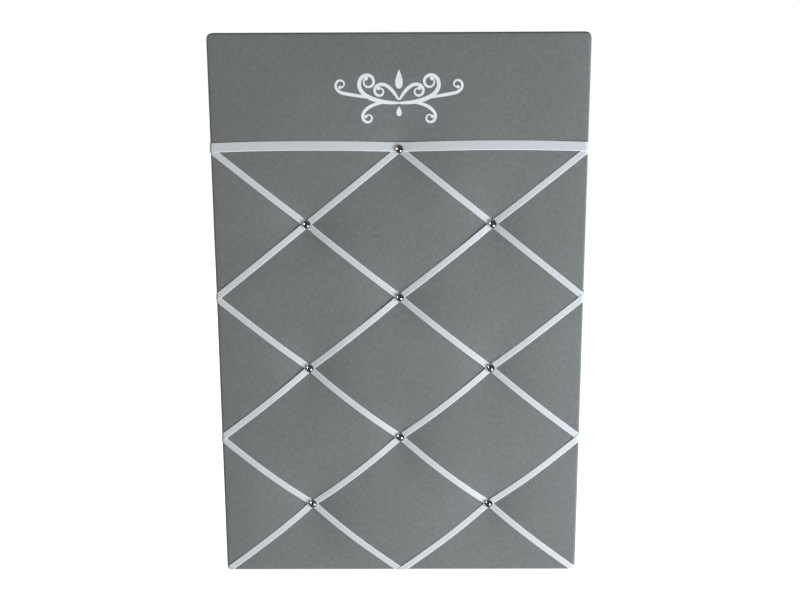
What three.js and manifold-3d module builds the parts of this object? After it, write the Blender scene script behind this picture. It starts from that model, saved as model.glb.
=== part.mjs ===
// French memo board: a padded, tufted board with a lattice of ribbons under domed nails.
// Millimetres, +Z up. The front faces -Y and the board hangs by two D-rings on its back.
// The origin is the middle of the back panel's rear face.

import * as THREE from 'three';
import { mergeVertices } from 'three/addons/utils/BufferGeometryUtils.js';
import Module from 'manifold-3d';

const wasm = await Module();
wasm.setup();

// Board outline and layers
const BOARD_W = 400;
const BOARD_H = 600;
const CORNER_R = 5;
const CORE_T = 10;
const COVER_T = 0.7;
const HEM_W = 25;
const PANEL_T = 2.5;
const PANEL_INSET = 12;
const FIT_GAP = 0.3;

// Padding: the wadding's rim, its rounded shoulder, its crown and the dimples at the nails
const WADDING_RIM = 1.5;
const SHOULDER_RISE = 7;
const SHOULDER_W = 8;
const CROWN_RISE = 4;
const TUFT_DEPTH = 8;
const TUFT_R = 60;

// Ribbon lattice: a plain band on top, then rows of nails down to the bottom edge
const TOP_BAND = 120;
const LATTICE_ROWS = 6;
const SIDE_COLUMNS = 2;
const CELLS_PER_PITCH = 3;
const BAND_CELLS = 3;
const RIBBON_T = 0.4;
const RIBBON_W = 7;
const TOP_RIBBON_W = 10;
const TOP_RIBBON_BOW = 2;
const RIBBON_TUCK = 4;
const TAIL_PAST_HEM = 15;
const TAIL_STEP = 3;
const CROSSING_MARGIN = 1.5;

// Domed nails
const NAIL_HEAD_R = 4.5;
const NAIL_HEAD_RISE = 3.4;
const NAIL_SHANK_R = 0.9;
const NAIL_POINT = 2;
const NAIL_WEB = 3.5;

// Staples over the ribbon ends
const STAPLE_WIRE = 0.7;
const STAPLE_PAST_HEM = 9;
const STAPLE_WEB = 5;

// Panel pins
const PIN_HEAD_R = 2.2;
const PIN_HEAD_T = 0.9;
const PIN_SHANK_R = 0.7;
const PIN_PAST_HEM = 6;
const PIN_WEB = 4;
const FIELD_MARGIN = 30;

// Hangers
const HANGER_INSET = 70;
const HANGER_DROP = 100;
const STRAP_W = 9;
const STRAP_L = 24;
const STRAP_T = 0.8;
const STRAP_CURL_DEG = 205;
const RING_WIRE_R = 1.1;
const RING_R = 10;
const RING_BAR_HALF = 7;
const RING_RISE = 20;
const RING_CLEARANCE = 0.4;
const SCREW_DROP = 14;
const SCREW_HEAD_R = 3.2;
const SCREW_HEAD_RISE = 1.6;
const SCREW_SLOT = 0.8;
const SCREW_SHANK_R = 1.6;
const SCREW_POINT = 3;
const SCREW_WEB = 2.5;

// Levels, counted forward from the back panel's rear face
const panelFront = PANEL_T;
const hemStack = RIBBON_T + FIT_GAP + COVER_T + FIT_GAP;
const stapleStack = STAPLE_WIRE + FIT_GAP + RIBBON_T + FIT_GAP;
const coreRear = panelFront + FIT_GAP + Math.max(hemStack, stapleStack);
const coreFront = coreRear + CORE_T;
const hemFront = coreRear - FIT_GAP;
const hemRear = hemFront - COVER_T;
const waddingRear = coreFront + FIT_GAP;
const coverInset = COVER_T + FIT_GAP;
const rimLevel = waddingRear + WADDING_RIM + coverInset;

const halfW = BOARD_W / 2;
const halfH = BOARD_H / 2;
const colPitch = halfW / SIDE_COLUMNS;
const topRow = halfH - TOP_BAND;
const rowPitch = (BOARD_H - TOP_BAND) / LATTICE_ROWS;

const HOLE_SIDES = 6;
const board = new THREE.Group();

// Small helpers for meshes and solids

function finish(color, roughness, metalness = 0) {
  return new THREE.MeshStandardMaterial({ color, roughness, metalness });
}

function addPiece(name, geometry, material, parent = board) {
  const mesh = new THREE.Mesh(geometry, material);
  mesh.name = name;
  parent.add(mesh);
  return mesh;
}

// A closed geometry as a solid that can be joined and cut.
function toSolid(geometry, matrix = new THREE.Matrix4()) {
  const bare = geometry.clone().applyMatrix4(matrix);
  bare.deleteAttribute('normal');
  bare.deleteAttribute('uv');
  const merged = mergeVertices(bare);
  const corners = merged.index.array;
  const kept = [];
  for (let i = 0; i < corners.length; i += 3) {
    const [a, b, c] = [corners[i], corners[i + 1], corners[i + 2]];
    if (a !== b && b !== c && c !== a) kept.push(a, b, c);
  }
  const vertProperties = new Float32Array(merged.attributes.position.array);
  return new wasm.Manifold(new wasm.Mesh({ numProp: 3, vertProperties, triVerts: new Uint32Array(kept) }));
}

function toGeometry(solid) {
  const { vertProperties, triVerts } = solid.getMesh();
  return meshGeometry(vertProperties, triVerts);
}

function meshGeometry(positions, triangles) {
  const geometry = new THREE.BufferGeometry();
  geometry.setAttribute('position', new THREE.BufferAttribute(new Float32Array(positions), 3));
  geometry.setIndex(new THREE.BufferAttribute(new Uint32Array(triangles), 1));
  geometry.computeVertexNormals();
  return geometry;
}

function cutAll(solid, cutters) {
  return cutters.reduce((rest, cutter) => rest.subtract(cutter), solid);
}

// A prism along Y at (x, z) that spans two levels.
function prism(x, z, radius, rear, front, sides) {
  const geometry = new THREE.CylinderGeometry(radius, radius, front - rear, sides);
  return toSolid(geometry, new THREE.Matrix4().makeTranslation(x, -(rear + front) / 2, z));
}

function block(width, depth, height, matrix) {
  return toSolid(new THREE.BoxGeometry(width, depth, height), matrix);
}

// An outline in the XZ plane as a plate between two levels.
function plate(outline, rear, front) {
  const geometry = new THREE.ExtrudeGeometry(outline, { depth: front - rear, bevelEnabled: false });
  geometry.rotateX(Math.PI / 2);
  geometry.translate(0, -rear, 0);
  return geometry;
}

// A plate between two levels, drilled with round holes. Its faces have a plain field in the middle
// that no hole cuts. The outline runs anticlockwise seen from the front.
function drilledPlate(outline, field, holes, rear, front) {
  const rounds = holes.map(({ x, z, radius }) => {
    const turns = Array.from({ length: HOLE_SIDES }, (_, k) => (-2 * Math.PI * k) / HOLE_SIDES);
    return turns.map((turn) => new THREE.Vector2(x + radius * Math.cos(turn), z + radius * Math.sin(turn)));
  });
  const loops = [outline, ...rounds, field];
  const points = loops.flat();
  const faces = THREE.ShapeUtils.triangulateShape(outline, [...rounds, field]);
  const fieldStart = points.length - field.length;
  faces.push([fieldStart, fieldStart + 1, fieldStart + 2], [fieldStart, fieldStart + 2, fieldStart + 3]);
  const positions = [];
  for (const level of [front, rear]) points.forEach(({ x, y }) => positions.push(x, -level, y));
  const triangles = [];
  for (const face of faces) {
    const [a, b, c] = face.map((index) => points[index]);
    const clockwise = (b.x - a.x) * (c.y - a.y) < (c.x - a.x) * (b.y - a.y);
    const [i, j, k] = clockwise ? [...face].reverse() : face;
    triangles.push(i, j, k, k + points.length, j + points.length, i + points.length);
  }
  let start = 0;
  for (const loop of [outline, ...rounds]) {
    loop.forEach((_, k) => {
      const p = start + k;
      const q = start + ((k + 1) % loop.length);
      const pRear = p + points.length;
      const qRear = q + points.length;
      triangles.push(p, pRear, qRear, p, qRear, q);
    });
    start += loop.length;
  }
  return meshGeometry(positions, triangles);
}

// The board's outline, moved in by an inset, with each corner rounded by two chords.
function outlineShape(inset, cornerR) {
  const w = halfW - inset;
  const h = halfH - inset;
  const mid = cornerR * (1 - Math.SQRT1_2);
  const quarter = [[w - cornerR, h], [w - mid, h - mid], [w, h - cornerR]];
  const flipped = [...quarter].reverse();
  const corners = [
    ...quarter,
    ...flipped.map(([x, z]) => [x, -z]),
    ...quarter.map(([x, z]) => [-x, -z]),
    ...flipped.map(([x, z]) => [-x, z]),
  ];
  return new THREE.Shape(corners.map(([x, z]) => new THREE.Vector2(x, z)));
}

// Lattice points: column 0 is the middle, row 0 is the top ribbon.

function latticePoint(column, row) {
  return new THREE.Vector2(column * colPitch, topRow - row * rowPitch);
}

const sideNames = { '-1': 'left', 0: 'middle', 1: 'right' };
const nails = [];
for (let row = 0; row < LATTICE_ROWS; row += 1) {
  for (let column = 1 - SIDE_COLUMNS; column < SIDE_COLUMNS; column += 1) {
    if ((row + column) % 2 !== 0) continue;
    const side = sideNames[column] ?? `column${column}`;
    nails.push({ name: `nail_row${row + 1}_${side}`, at: latticePoint(column, row) });
  }
}

// Padded front: one grid of lines is shared by the cover and the wadding.

function edgeRise(distance) {
  const t = Math.min(distance / SHOULDER_W, 1);
  return Math.sqrt(1 - (1 - t) ** 2);
}

function dimple(x, z) {
  const depths = nails.map(({ at }) => {
    const t = Math.min(Math.hypot(x - at.x, z - at.y) / TUFT_R, 1);
    return TUFT_DEPTH * (1 - t) ** 2;
  });
  return Math.max(...depths);
}

function frontLevel(x, z) {
  const shoulder = SHOULDER_RISE * edgeRise(halfW - Math.abs(x)) * edgeRise(halfH - Math.abs(z));
  const crown = CROWN_RISE * (1 - (x / halfW) ** 2) * (1 - (z / halfH) ** 2);
  return rimLevel + shoulder + crown - dimple(x, z);
}

function rimLines(half) {
  return [half - (CORNER_R + SHOULDER_W) / 2, half - CORNER_R, half];
}

function sortedLines(inner, half) {
  const rim = rimLines(half);
  const clear = inner.filter((line) => Math.abs(line) < rim[0] - CORNER_R);
  return [...clear, ...rim, ...rim.map((line) => -line)].sort((a, b) => a - b);
}

const columnStep = colPitch / CELLS_PER_PITCH;
const columnCount = SIDE_COLUMNS * CELLS_PER_PITCH;
const columnLines = [];
for (let i = -columnCount; i <= columnCount; i += 1) columnLines.push(i * columnStep);
const rowLines = [];
for (let i = 0; i < LATTICE_ROWS * CELLS_PER_PITCH; i += 1) {
  rowLines.push(topRow - (i * rowPitch) / CELLS_PER_PITCH);
}
for (let i = 1; i < BAND_CELLS; i += 1) rowLines.push(topRow + (i * TOP_BAND) / BAND_CELLS);

const gridX = sortedLines(columnLines, halfW);
const gridZ = sortedLines(rowLines, halfH);

// A grid point in plan: the outer lines move in by the inset and the corners are rounded.
function planPoint(x, z, inset) {
  const radius = CORNER_R - inset;
  const u = Math.max(Math.min(Math.abs(x), halfW - inset) - (halfW - CORNER_R), 0) / radius;
  const v = Math.max(Math.min(Math.abs(z), halfH - inset) - (halfH - CORNER_R), 0) / radius;
  const roundX = u > 0 ? halfW - CORNER_R + radius * u * Math.sqrt(1 - (v * v) / 2) : Math.abs(x);
  const roundZ = v > 0 ? halfH - CORNER_R + radius * v * Math.sqrt(1 - (u * u) / 2) : Math.abs(z);
  return new THREE.Vector2(Math.sign(x) * roundX, Math.sign(z) * roundZ);
}

// The two triangles of a grid cell, split along the ribbon that crosses it.
function cellTriangles(i, j) {
  const column = (gridX[i] + gridX[i + 1]) / 2 / colPitch;
  const row = (topRow - (gridZ[j] + gridZ[j + 1]) / 2) / rowPitch;
  const toEven = (value) => Math.abs(value - 2 * Math.round(value / 2));
  const corner = [[i, j], [i + 1, j], [i + 1, j + 1], [i, j + 1]];
  const falling = toEven(row - column) < toEven(row + column);
  const order = falling ? [[0, 1, 3], [1, 2, 3]] : [[0, 1, 2], [0, 2, 3]];
  return order.map((triangle) => triangle.map((index) => corner[index]));
}

// A block with the padded front, lowered by a drop and moved in by an inset, with a flat rear.
function paddedBlock(inset, drop, rear) {
  const positions = [];
  const triangles = [];
  const columns = gridX.length;
  const rows = gridZ.length;
  const front = (i, j) => j * columns + i;
  for (let j = 0; j < rows; j += 1) {
    for (let i = 0; i < columns; i += 1) {
      const plan = planPoint(gridX[i], gridZ[j], inset);
      positions.push(plan.x, drop - frontLevel(gridX[i], gridZ[j]), plan.y);
    }
  }
  for (let j = 0; j < rows - 1; j += 1) {
    for (let i = 0; i < columns - 1; i += 1) {
      for (const triangle of cellTriangles(i, j)) triangles.push(...triangle.map(([a, b]) => front(a, b)));
    }
  }
  const loop = [];
  for (let i = 0; i < columns - 1; i += 1) loop.push(front(i, 0));
  for (let j = 0; j < rows - 1; j += 1) loop.push(front(columns - 1, j));
  for (let i = columns - 1; i > 0; i -= 1) loop.push(front(i, rows - 1));
  for (let j = rows - 1; j > 0; j -= 1) loop.push(front(0, j));
  const rearStart = positions.length / 3;
  for (const index of loop) positions.push(positions[index * 3], -rear, positions[index * 3 + 2]);
  const hub = positions.length / 3;
  positions.push(0, -rear, 0);
  loop.forEach((p, k) => {
    const q = loop[(k + 1) % loop.length];
    const pRear = rearStart + k;
    const qRear = rearStart + ((k + 1) % loop.length);
    triangles.push(p, pRear, qRear, p, qRear, q, hub, qRear, pRear);
  });
  return toSolid(meshGeometry(positions, triangles));
}

// The level of the cover's faceted front at a point.
function coverLevel(x, z) {
  const i = Math.max(gridX.findLastIndex((line, k) => line <= x && k < gridX.length - 1), 0);
  const j = Math.max(gridZ.findLastIndex((line, k) => line <= z && k < gridZ.length - 1), 0);
  for (const triangle of cellTriangles(i, j)) {
    const [a, b, c] = triangle.map(([p, q]) => planPoint(gridX[p], gridZ[q], 0));
    const area = (b.x - a.x) * (c.y - a.y) - (c.x - a.x) * (b.y - a.y);
    const s = ((b.x - x) * (c.y - z) - (c.x - x) * (b.y - z)) / area;
    const t = ((c.x - x) * (a.y - z) - (a.x - x) * (c.y - z)) / area;
    const slack = -1e-9;
    if (s < slack || t < slack || s + t > 1 - slack) continue;
    const levels = triangle.map(([p, q]) => frontLevel(gridX[p], gridZ[q]));
    return s * levels[0] + t * levels[1] + (1 - s - t) * levels[2];
  }
  return rimLevel;
}

// Ribbons: straight lanes over the front, folded round the edge and stapled on the back.

const outlineLoop = outlineShape(0, CORNER_R).getPoints();
const ribbons = [];
const folds = [];

// How far a lane runs from a start along a direction before it leaves the board's outline.
function runToEdge(start, direction) {
  let reach = 0;
  outlineLoop.forEach((a, k) => {
    const b = outlineLoop[(k + 1) % outlineLoop.length];
    const side = b.clone().sub(a);
    const cross = direction.x * side.y - direction.y * side.x;
    if (Math.abs(cross) < 1e-9) return;
    const toA = a.clone().sub(start);
    const along = (toA.x * side.y - toA.y * side.x) / cross;
    const share = (toA.x * direction.y - toA.y * direction.x) / cross;
    if (share >= -1e-9 && share <= 1 + 1e-9) reach = Math.max(reach, along);
  });
  return reach;
}

// The top of whatever lies at a point of the front: the cover or the uppermost ribbon.
function topLevel(x, z) {
  return ribbons.reduce((top, ribbon) => Math.max(top, ribbon.levelAt(x, z)), coverLevel(x, z));
}

function mix(a, b, t) {
  return a + (b - a) * t;
}

// A closed strip from rows of lanes, each lane a pair of points below and above the ribbon.
function stripSolid(rows) {
  const lanes = rows[0].length;
  const positions = rows.flat().flatMap(([below, above]) => [...below.toArray(), ...above.toArray()]);
  const below = (row, lane) => (row * lanes + lane) * 2;
  const above = (row, lane) => below(row, lane) + 1;
  const triangles = [];
  const quad = (a, b, c, d) => triangles.push(a, c, b, a, d, c);
  const last = lanes - 1;
  for (let row = 0; row < rows.length - 1; row += 1) {
    for (let lane = 0; lane < last; lane += 1) {
      quad(above(row, lane), above(row, lane + 1), above(row + 1, lane + 1), above(row + 1, lane));
      quad(below(row, lane), below(row + 1, lane), below(row + 1, lane + 1), below(row, lane + 1));
    }
    quad(above(row, 0), above(row + 1, 0), below(row + 1, 0), below(row, 0));
    quad(above(row, last), below(row, last), below(row + 1, last), above(row + 1, last));
  }
  const end = rows.length - 1;
  for (let lane = 0; lane < last; lane += 1) {
    quad(above(0, lane), below(0, lane), below(0, lane + 1), above(0, lane + 1));
    quad(above(end, lane), above(end, lane + 1), below(end, lane + 1), below(end, lane));
  }
  return toSolid(meshGeometry(positions, triangles));
}

// Which edge a ribbon folds over: its outward normal, and how far the tail runs to clear the hem.
function foldAt(exit, direction) {
  const overSide = halfW - Math.abs(exit.x) < FIT_GAP;
  const overBottom = halfH - Math.abs(exit.y) < FIT_GAP;
  if (overSide) return { normal: new THREE.Vector2(Math.sign(exit.x), 0), hemRun: HEM_W };
  if (overBottom) return { normal: new THREE.Vector2(0, Math.sign(exit.y)), hemRun: HEM_W };
  const least = Math.min(Math.abs(direction.x), Math.abs(direction.y));
  return { normal: direction.clone(), hemRun: HEM_W / least + RIBBON_W };
}

// The rows of a ribbon's tail, from the front edge round the side to its end on the back.
function tailRows(exits, direction, staple) {
  const middle = exits[(exits.length - 1) / 2];
  const { normal, hemRun } = foldAt(middle, direction);
  const along = new THREE.Vector2(-normal.y, normal.x);
  const drift = direction.dot(along) / direction.dot(normal);
  const layer = folds.filter((fold) => fold.distanceTo(middle) < 2 * TOP_RIBBON_W).length;
  folds.push(middle);
  const sideGap = FIT_GAP + layer * (RIBBON_T + FIT_GAP);
  const wall = rimLevel - hemRear;
  const point = (exit, out, run, level) => {
    const plan = exit.clone().addScaledVector(normal, out).addScaledVector(along, drift * run);
    return new THREE.Vector3(plan.x, -level, plan.y);
  };
  const sideRow = (depth) => exits.map((exit) => [
    point(exit, sideGap, depth, rimLevel - depth),
    point(exit, sideGap + RIBBON_T, depth, rimLevel - depth),
  ]);
  const backRow = (inward, level) => exits.map((exit) => [
    point(exit, -inward, wall + inward, level - FIT_GAP),
    point(exit, -inward, wall + inward, level - FIT_GAP - RIBBON_T),
  ]);
  const stapleRun = hemRun + STAPLE_PAST_HEM;
  staple.at = point(middle, -stapleRun, wall + stapleRun, coreRear);
  const tailWay = along.clone().multiplyScalar(drift).sub(normal);
  staple.turn = Math.atan2(tailWay.x, tailWay.y);
  staple.lean = normal.x === direction.x ? 0 : Math.atan(drift);
  return [
    sideRow(0),
    sideRow(wall),
    backRow(0, hemRear),
    backRow(hemRun + FIT_GAP, hemRear),
    backRow(hemRun + TAIL_STEP, coreRear),
    backRow(hemRun + TAIL_PAST_HEM, coreRear),
  ];
}

// Stations along a span: close together where the ribbon dips to a nail or an edge.
const STATION_SHARES = [0, 0.02, 0.045, 0.085, 0.18, 0.333, 0.667, 0.82, 0.915, 0.955, 0.98];

function layRibbon({ name, from, to, stops, width, bow, tucked }) {
  const direction = to.clone().sub(from).normalize();
  const across = new THREE.Vector2(-direction.y, direction.x);
  const back = direction.clone().negate();
  const laneOffsets = [-width / 2, 0, width / 2];
  const anchors = stops.map((stop) => stop.clone().sub(from).dot(direction));
  const laneOrigin = (offset) => from.clone().addScaledVector(across, offset);
  const inside = from.clone().add(to).multiplyScalar(0.5).sub(from).dot(direction);
  const reach = laneOffsets.map((offset) => {
    const middle = laneOrigin(offset).addScaledVector(direction, inside);
    const end = inside + runToEdge(middle, direction);
    const start = tucked ? -RIBBON_TUCK : inside - runToEdge(middle, back);
    return { start, end };
  });
  const centre = reach[1];
  const runs = [centre.start, ...anchors.filter((run) => run > 1 && run < centre.end - 1), centre.end];
  if (tucked) runs.splice(1, 0, 0);
  const bowAt = (run) => {
    const k = Math.max(runs.findLastIndex((stop) => stop <= run), 0);
    const next = runs[Math.min(k + 1, runs.length - 1)];
    const share = next > runs[k] ? (run - runs[k]) / (next - runs[k]) : 0;
    return bow * 4 * share * (1 - share);
  };
  const stationRuns = runs.slice(0, -1).flatMap((run, k) => {
    const length = runs[k + 1] - run;
    const shares = length < 2 * RIBBON_W ? [0] : STATION_SHARES;
    return shares.map((share) => run + share * length);
  });
  stationRuns.push(centre.end);
  const shares = stationRuns.map((run) => (run - centre.start) / (centre.end - centre.start));
  const laneReach = (offset) => {
    const [left, , right] = reach;
    const t = Math.abs(offset) / (width / 2);
    const outer = offset < 0 ? left : right;
    return { start: mix(centre.start, outer.start, t), end: mix(centre.end, outer.end, t) };
  };
  const plan = (share, offset) => {
    const { start, end } = laneReach(offset);
    const run = mix(start, end, share);
    return laneOrigin(offset + bowAt(run)).addScaledVector(direction, run);
  };
  const samples = [-1, -0.5, 0, 0.5, 1].map((side) => (side * width) / 2);
  const need = (share) => {
    const levels = samples.map((offset) => {
      const { x, y } = plan(share, offset);
      return topLevel(x, y);
    });
    return Math.max(...levels) + FIT_GAP;
  };
  const levels = shares.map(need);
  for (let k = 0; k < shares.length - 1; k += 1) {
    for (const t of [0.2, 0.4, 0.6, 0.8]) {
      const short = need(mix(shares[k], shares[k + 1], t)) - mix(levels[k], levels[k + 1], t);
      if (short <= 0) continue;
      levels[k] += short;
      levels[k + 1] += short;
    }
  }
  const frontRows = shares.map((share, k) => laneOffsets.map((offset) => {
    const { x, y } = plan(share, offset);
    return [new THREE.Vector3(x, -levels[k], y), new THREE.Vector3(x, -levels[k] - RIBBON_T, y)];
  }));
  const staples = [];
  const tail = (share, way, endName) => {
    const staple = { name: `staple_${name}_${endName}`, width };
    staples.push(staple);
    return tailRows(laneOffsets.map((offset) => plan(share, offset)), way, staple);
  };
  const head = tucked ? [] : tail(0, back, 'start').reverse();
  const foot = tail(1, direction, 'end');
  const levelAt = (x, z) => {
    const offset = new THREE.Vector2(x, z).sub(from);
    const run = offset.dot(direction);
    const side = offset.dot(across) - bowAt(run);
    if (Math.abs(side) > width / 2 + CROSSING_MARGIN) return -Infinity;
    const { start, end } = laneReach(THREE.MathUtils.clamp(side, -width / 2, width / 2));
    const share = (run - start) / (end - start);
    const margin = CROSSING_MARGIN / (end - start);
    if (share < -margin || share > 1 + margin) return -Infinity;
    const k = THREE.MathUtils.clamp(shares.findLastIndex((at) => at <= share), 0, shares.length - 2);
    const t = THREE.MathUtils.clamp((share - shares[k]) / (shares[k + 1] - shares[k]), 0, 1);
    return mix(levels[k], levels[k + 1], t) + RIBBON_T;
  };
  ribbons.push({ name, stops, staples, levelAt, rows: [...head, ...frontRows, ...foot] });
}

// The falling ribbons run down to the right, and the rising ones are their mirror image over them.
for (const [family, side] of [['falling', 1], ['rising', -1]]) {
  for (let line = 0; line <= LATTICE_ROWS; line += 2) {
    const first = Math.max(-SIDE_COLUMNS, -line);
    const last = Math.min(SIDE_COLUMNS, LATTICE_ROWS - line);
    const stops = [];
    for (let column = first; column <= last; column += 1) {
      stops.push(latticePoint(side * column, column + line));
    }
    layRibbon({
      name: `ribbon_${family}_${line / 2 + 1}`,
      from: stops[0],
      to: stops[stops.length - 1],
      stops,
      width: RIBBON_W,
      bow: 0,
      tucked: line === 0,
    });
  }
}
const topStops = [-SIDE_COLUMNS, 0, SIDE_COLUMNS].map((column) => latticePoint(column, 0));
layRibbon({
  name: 'top_ribbon',
  from: topStops[0],
  to: topStops[2],
  stops: topStops,
  width: TOP_RIBBON_W,
  bow: TOP_RIBBON_BOW,
  tucked: false,
});

// Nail holes go through everything between the head and the core.

const nailTip = coreRear + NAIL_WEB;
const reachFront = rimLevel + SHOULDER_RISE + CROWN_RISE + NAIL_HEAD_RISE;
const nailHoleR = NAIL_SHANK_R + FIT_GAP;
const nailHole = ({ at }) => prism(at.x, at.y, nailHoleR, nailTip - FIT_GAP, reachFront, HOLE_SIDES);
const nailHoles = nails.map(nailHole);

const satin = () => finish(0xe4e8ea, 0.45);
for (const { name, stops, rows } of ribbons) {
  const pierced = nails.filter(({ at }) => stops.some((stop) => stop.distanceTo(at) < FIT_GAP));
  addPiece(name, toGeometry(cutAll(stripSolid(rows), pierced.map(nailHole))), satin());
}

// Cover: a thin shell over the padding whose hem is folded onto the back of the core.
const hemWindow = block(
  BOARD_W - 2 * HEM_W,
  COVER_T + 2 * FIT_GAP,
  BOARD_H - 2 * HEM_W,
  new THREE.Matrix4().makeTranslation(0, -(hemRear + hemFront) / 2, 0),
);
const coverShell = paddedBlock(0, 0, hemRear).subtract(paddedBlock(COVER_T, COVER_T, hemFront));
const coverSolid = cutAll(coverShell, [hemWindow, ...nailHoles]);
addPiece('fabric_cover', toGeometry(coverSolid), finish(0x7b8081, 0.95));

const waddingSolid = cutAll(paddedBlock(coverInset, coverInset, waddingRear), nailHoles);
addPiece('wadding', toGeometry(waddingSolid), finish(0xf1efe8, 1));

// Domed nails
const HEAD_STEPS = 4;
const NAIL_SIDES = 12;
for (const { name, at } of nails) {
  const rim = [0, 1, 2, 3, 4, 5, 6, 7].map((k) => (k * Math.PI) / 4);
  const around = rim.flatMap((angle) => [0.5, 1].map((share) => {
    const reach = share * NAIL_HEAD_R;
    return topLevel(at.x + reach * Math.cos(angle), at.y + reach * Math.sin(angle));
  }));
  const seat = Math.max(topLevel(at.x, at.y), ...around) + FIT_GAP;
  const profile = [
    new THREE.Vector2(0, -nailTip),
    new THREE.Vector2(NAIL_SHANK_R, -nailTip - NAIL_POINT),
    new THREE.Vector2(NAIL_SHANK_R, -seat),
  ];
  for (let k = 0; k <= HEAD_STEPS; k += 1) {
    const angle = (k / HEAD_STEPS) * (Math.PI / 2);
    const radius = k === HEAD_STEPS ? 0 : NAIL_HEAD_R * Math.cos(angle);
    profile.push(new THREE.Vector2(radius, -seat - NAIL_HEAD_RISE * Math.sin(angle)));
  }
  const geometry = new THREE.LatheGeometry(profile.reverse(), NAIL_SIDES);
  addPiece(name, geometry, finish(0xd8dadd, 0.08, 1)).position.set(at.x, 0, at.y);
}

// Staples: a crown over each ribbon end, with a leg in the core on either side of it.

const crownRear = coreRear - stapleStack;
const stapleTip = coreFront - STAPLE_WEB;
const coreCutters = [...nailHoles];
for (const { staples } of ribbons) {
  for (const { name, at, turn, lean, width } of staples) {
    const inner = (width / 2) / Math.cos(lean) + FIT_GAP;
    const outer = inner + STAPLE_WIRE;
    const crownFront = crownRear + STAPLE_WIRE;
    const outline = new THREE.Shape([
      new THREE.Vector2(-outer, -crownRear),
      new THREE.Vector2(-outer, -stapleTip),
      new THREE.Vector2(-inner, -stapleTip),
      new THREE.Vector2(-inner, -crownFront),
      new THREE.Vector2(inner, -crownFront),
      new THREE.Vector2(inner, -stapleTip),
      new THREE.Vector2(outer, -stapleTip),
      new THREE.Vector2(outer, -crownRear),
    ]);
    const geometry = new THREE.ExtrudeGeometry(outline, { depth: STAPLE_WIRE, bevelEnabled: false });
    geometry.translate(0, 0, -STAPLE_WIRE / 2);
    const holder = new THREE.Group();
    holder.position.set(at.x, 0, at.z);
    holder.rotation.y = turn;
    holder.updateMatrix();
    board.add(holder);
    addPiece(name, geometry, finish(0xb9bcc0, 0.35, 1), holder);
    const slot = STAPLE_WIRE + 2 * FIT_GAP;
    const depth = stapleTip - coreRear + 2 * FIT_GAP;
    for (const leg of [-1, 1]) {
      const place = new THREE.Matrix4().makeTranslation(
        leg * (inner + STAPLE_WIRE / 2),
        -(coreRear + stapleTip) / 2,
        0,
      );
      coreCutters.push(block(slot, depth, slot, place.premultiply(holder.matrix)));
    }
  }
}

// Panel pins: beside the ribbon ends, never over them.

const pinX = halfW - HEM_W - PIN_PAST_HEM;
const pinZ = halfH - HEM_W - PIN_PAST_HEM;
const pins = [];
const panelHoles = [];
for (let row = 1; row < LATTICE_ROWS; row += 2) {
  const { y } = latticePoint(0, row);
  pins.push({ name: `pin_left_${(row + 1) / 2}`, x: -pinX, z: y });
  pins.push({ name: `pin_right_${(row + 1) / 2}`, x: pinX, z: y });
}
for (let column = 1 - SIDE_COLUMNS; column < SIDE_COLUMNS; column += 1) {
  pins.push({ name: `pin_top_${column + SIDE_COLUMNS}`, x: column * colPitch, z: pinZ });
  if (column === 0) continue;
  pins.push({ name: `pin_bottom_${column + SIDE_COLUMNS}`, x: column * colPitch, z: -pinZ });
}
const PIN_SIDES = 8;
const pinTip = coreFront - PIN_WEB;
for (const { name, x, z } of pins) {
  const profile = [
    new THREE.Vector2(0, -pinTip),
    new THREE.Vector2(PIN_SHANK_R, -pinTip + 2 * PIN_SHANK_R),
    new THREE.Vector2(PIN_SHANK_R, FIT_GAP),
    new THREE.Vector2(PIN_HEAD_R, FIT_GAP),
    new THREE.Vector2(PIN_HEAD_R - FIT_GAP, FIT_GAP + PIN_HEAD_T),
    new THREE.Vector2(0, FIT_GAP + PIN_HEAD_T),
  ];
  const geometry = new THREE.LatheGeometry(profile, PIN_SIDES);
  addPiece(name, geometry, finish(0xa7a9ab, 0.4, 1)).position.set(x, 0, z);
  coreCutters.push(prism(x, z, PIN_SHANK_R + FIT_GAP, 0, pinTip + FIT_GAP, HOLE_SIDES));
  panelHoles.push({ x, z, radius: PIN_SHANK_R + FIT_GAP });
}

// Hangers: a strap curled round the straight bar of a D-ring, held by one screw.

const curlR = RING_WIRE_R + RING_CLEARANCE + STRAP_T;
const barY = FIT_GAP + curlR;
const barX = halfW - HANGER_INSET;
const barZ = halfH - HANGER_DROP;
const screwTip = coreFront - SCREW_WEB;
const ringLean = Math.asin((barY - RING_WIRE_R - FIT_GAP) / RING_RISE);
const screwZ = barZ - SCREW_DROP;
const zinc = () => finish(0xc3c6c9, 0.3, 1);

function strapGeometry() {
  const start = -Math.PI / 2;
  const end = THREE.MathUtils.degToRad(STRAP_CURL_DEG);
  const outline = new THREE.Shape();
  outline.moveTo(-STRAP_L, 0);
  outline.lineTo(0, 0);
  outline.absarc(0, curlR, curlR, start, end, false);
  outline.absarc(0, curlR, curlR - STRAP_T, end, start, true);
  outline.lineTo(-STRAP_L, STRAP_T);
  const curlSteps = 8;
  const options = { depth: STRAP_W, bevelEnabled: false, curveSegments: curlSteps };
  const geometry = new THREE.ExtrudeGeometry(outline, options);
  geometry.translate(0, 0, -STRAP_W / 2);
  geometry.rotateY(-Math.PI / 2);
  return geometry;
}

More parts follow.
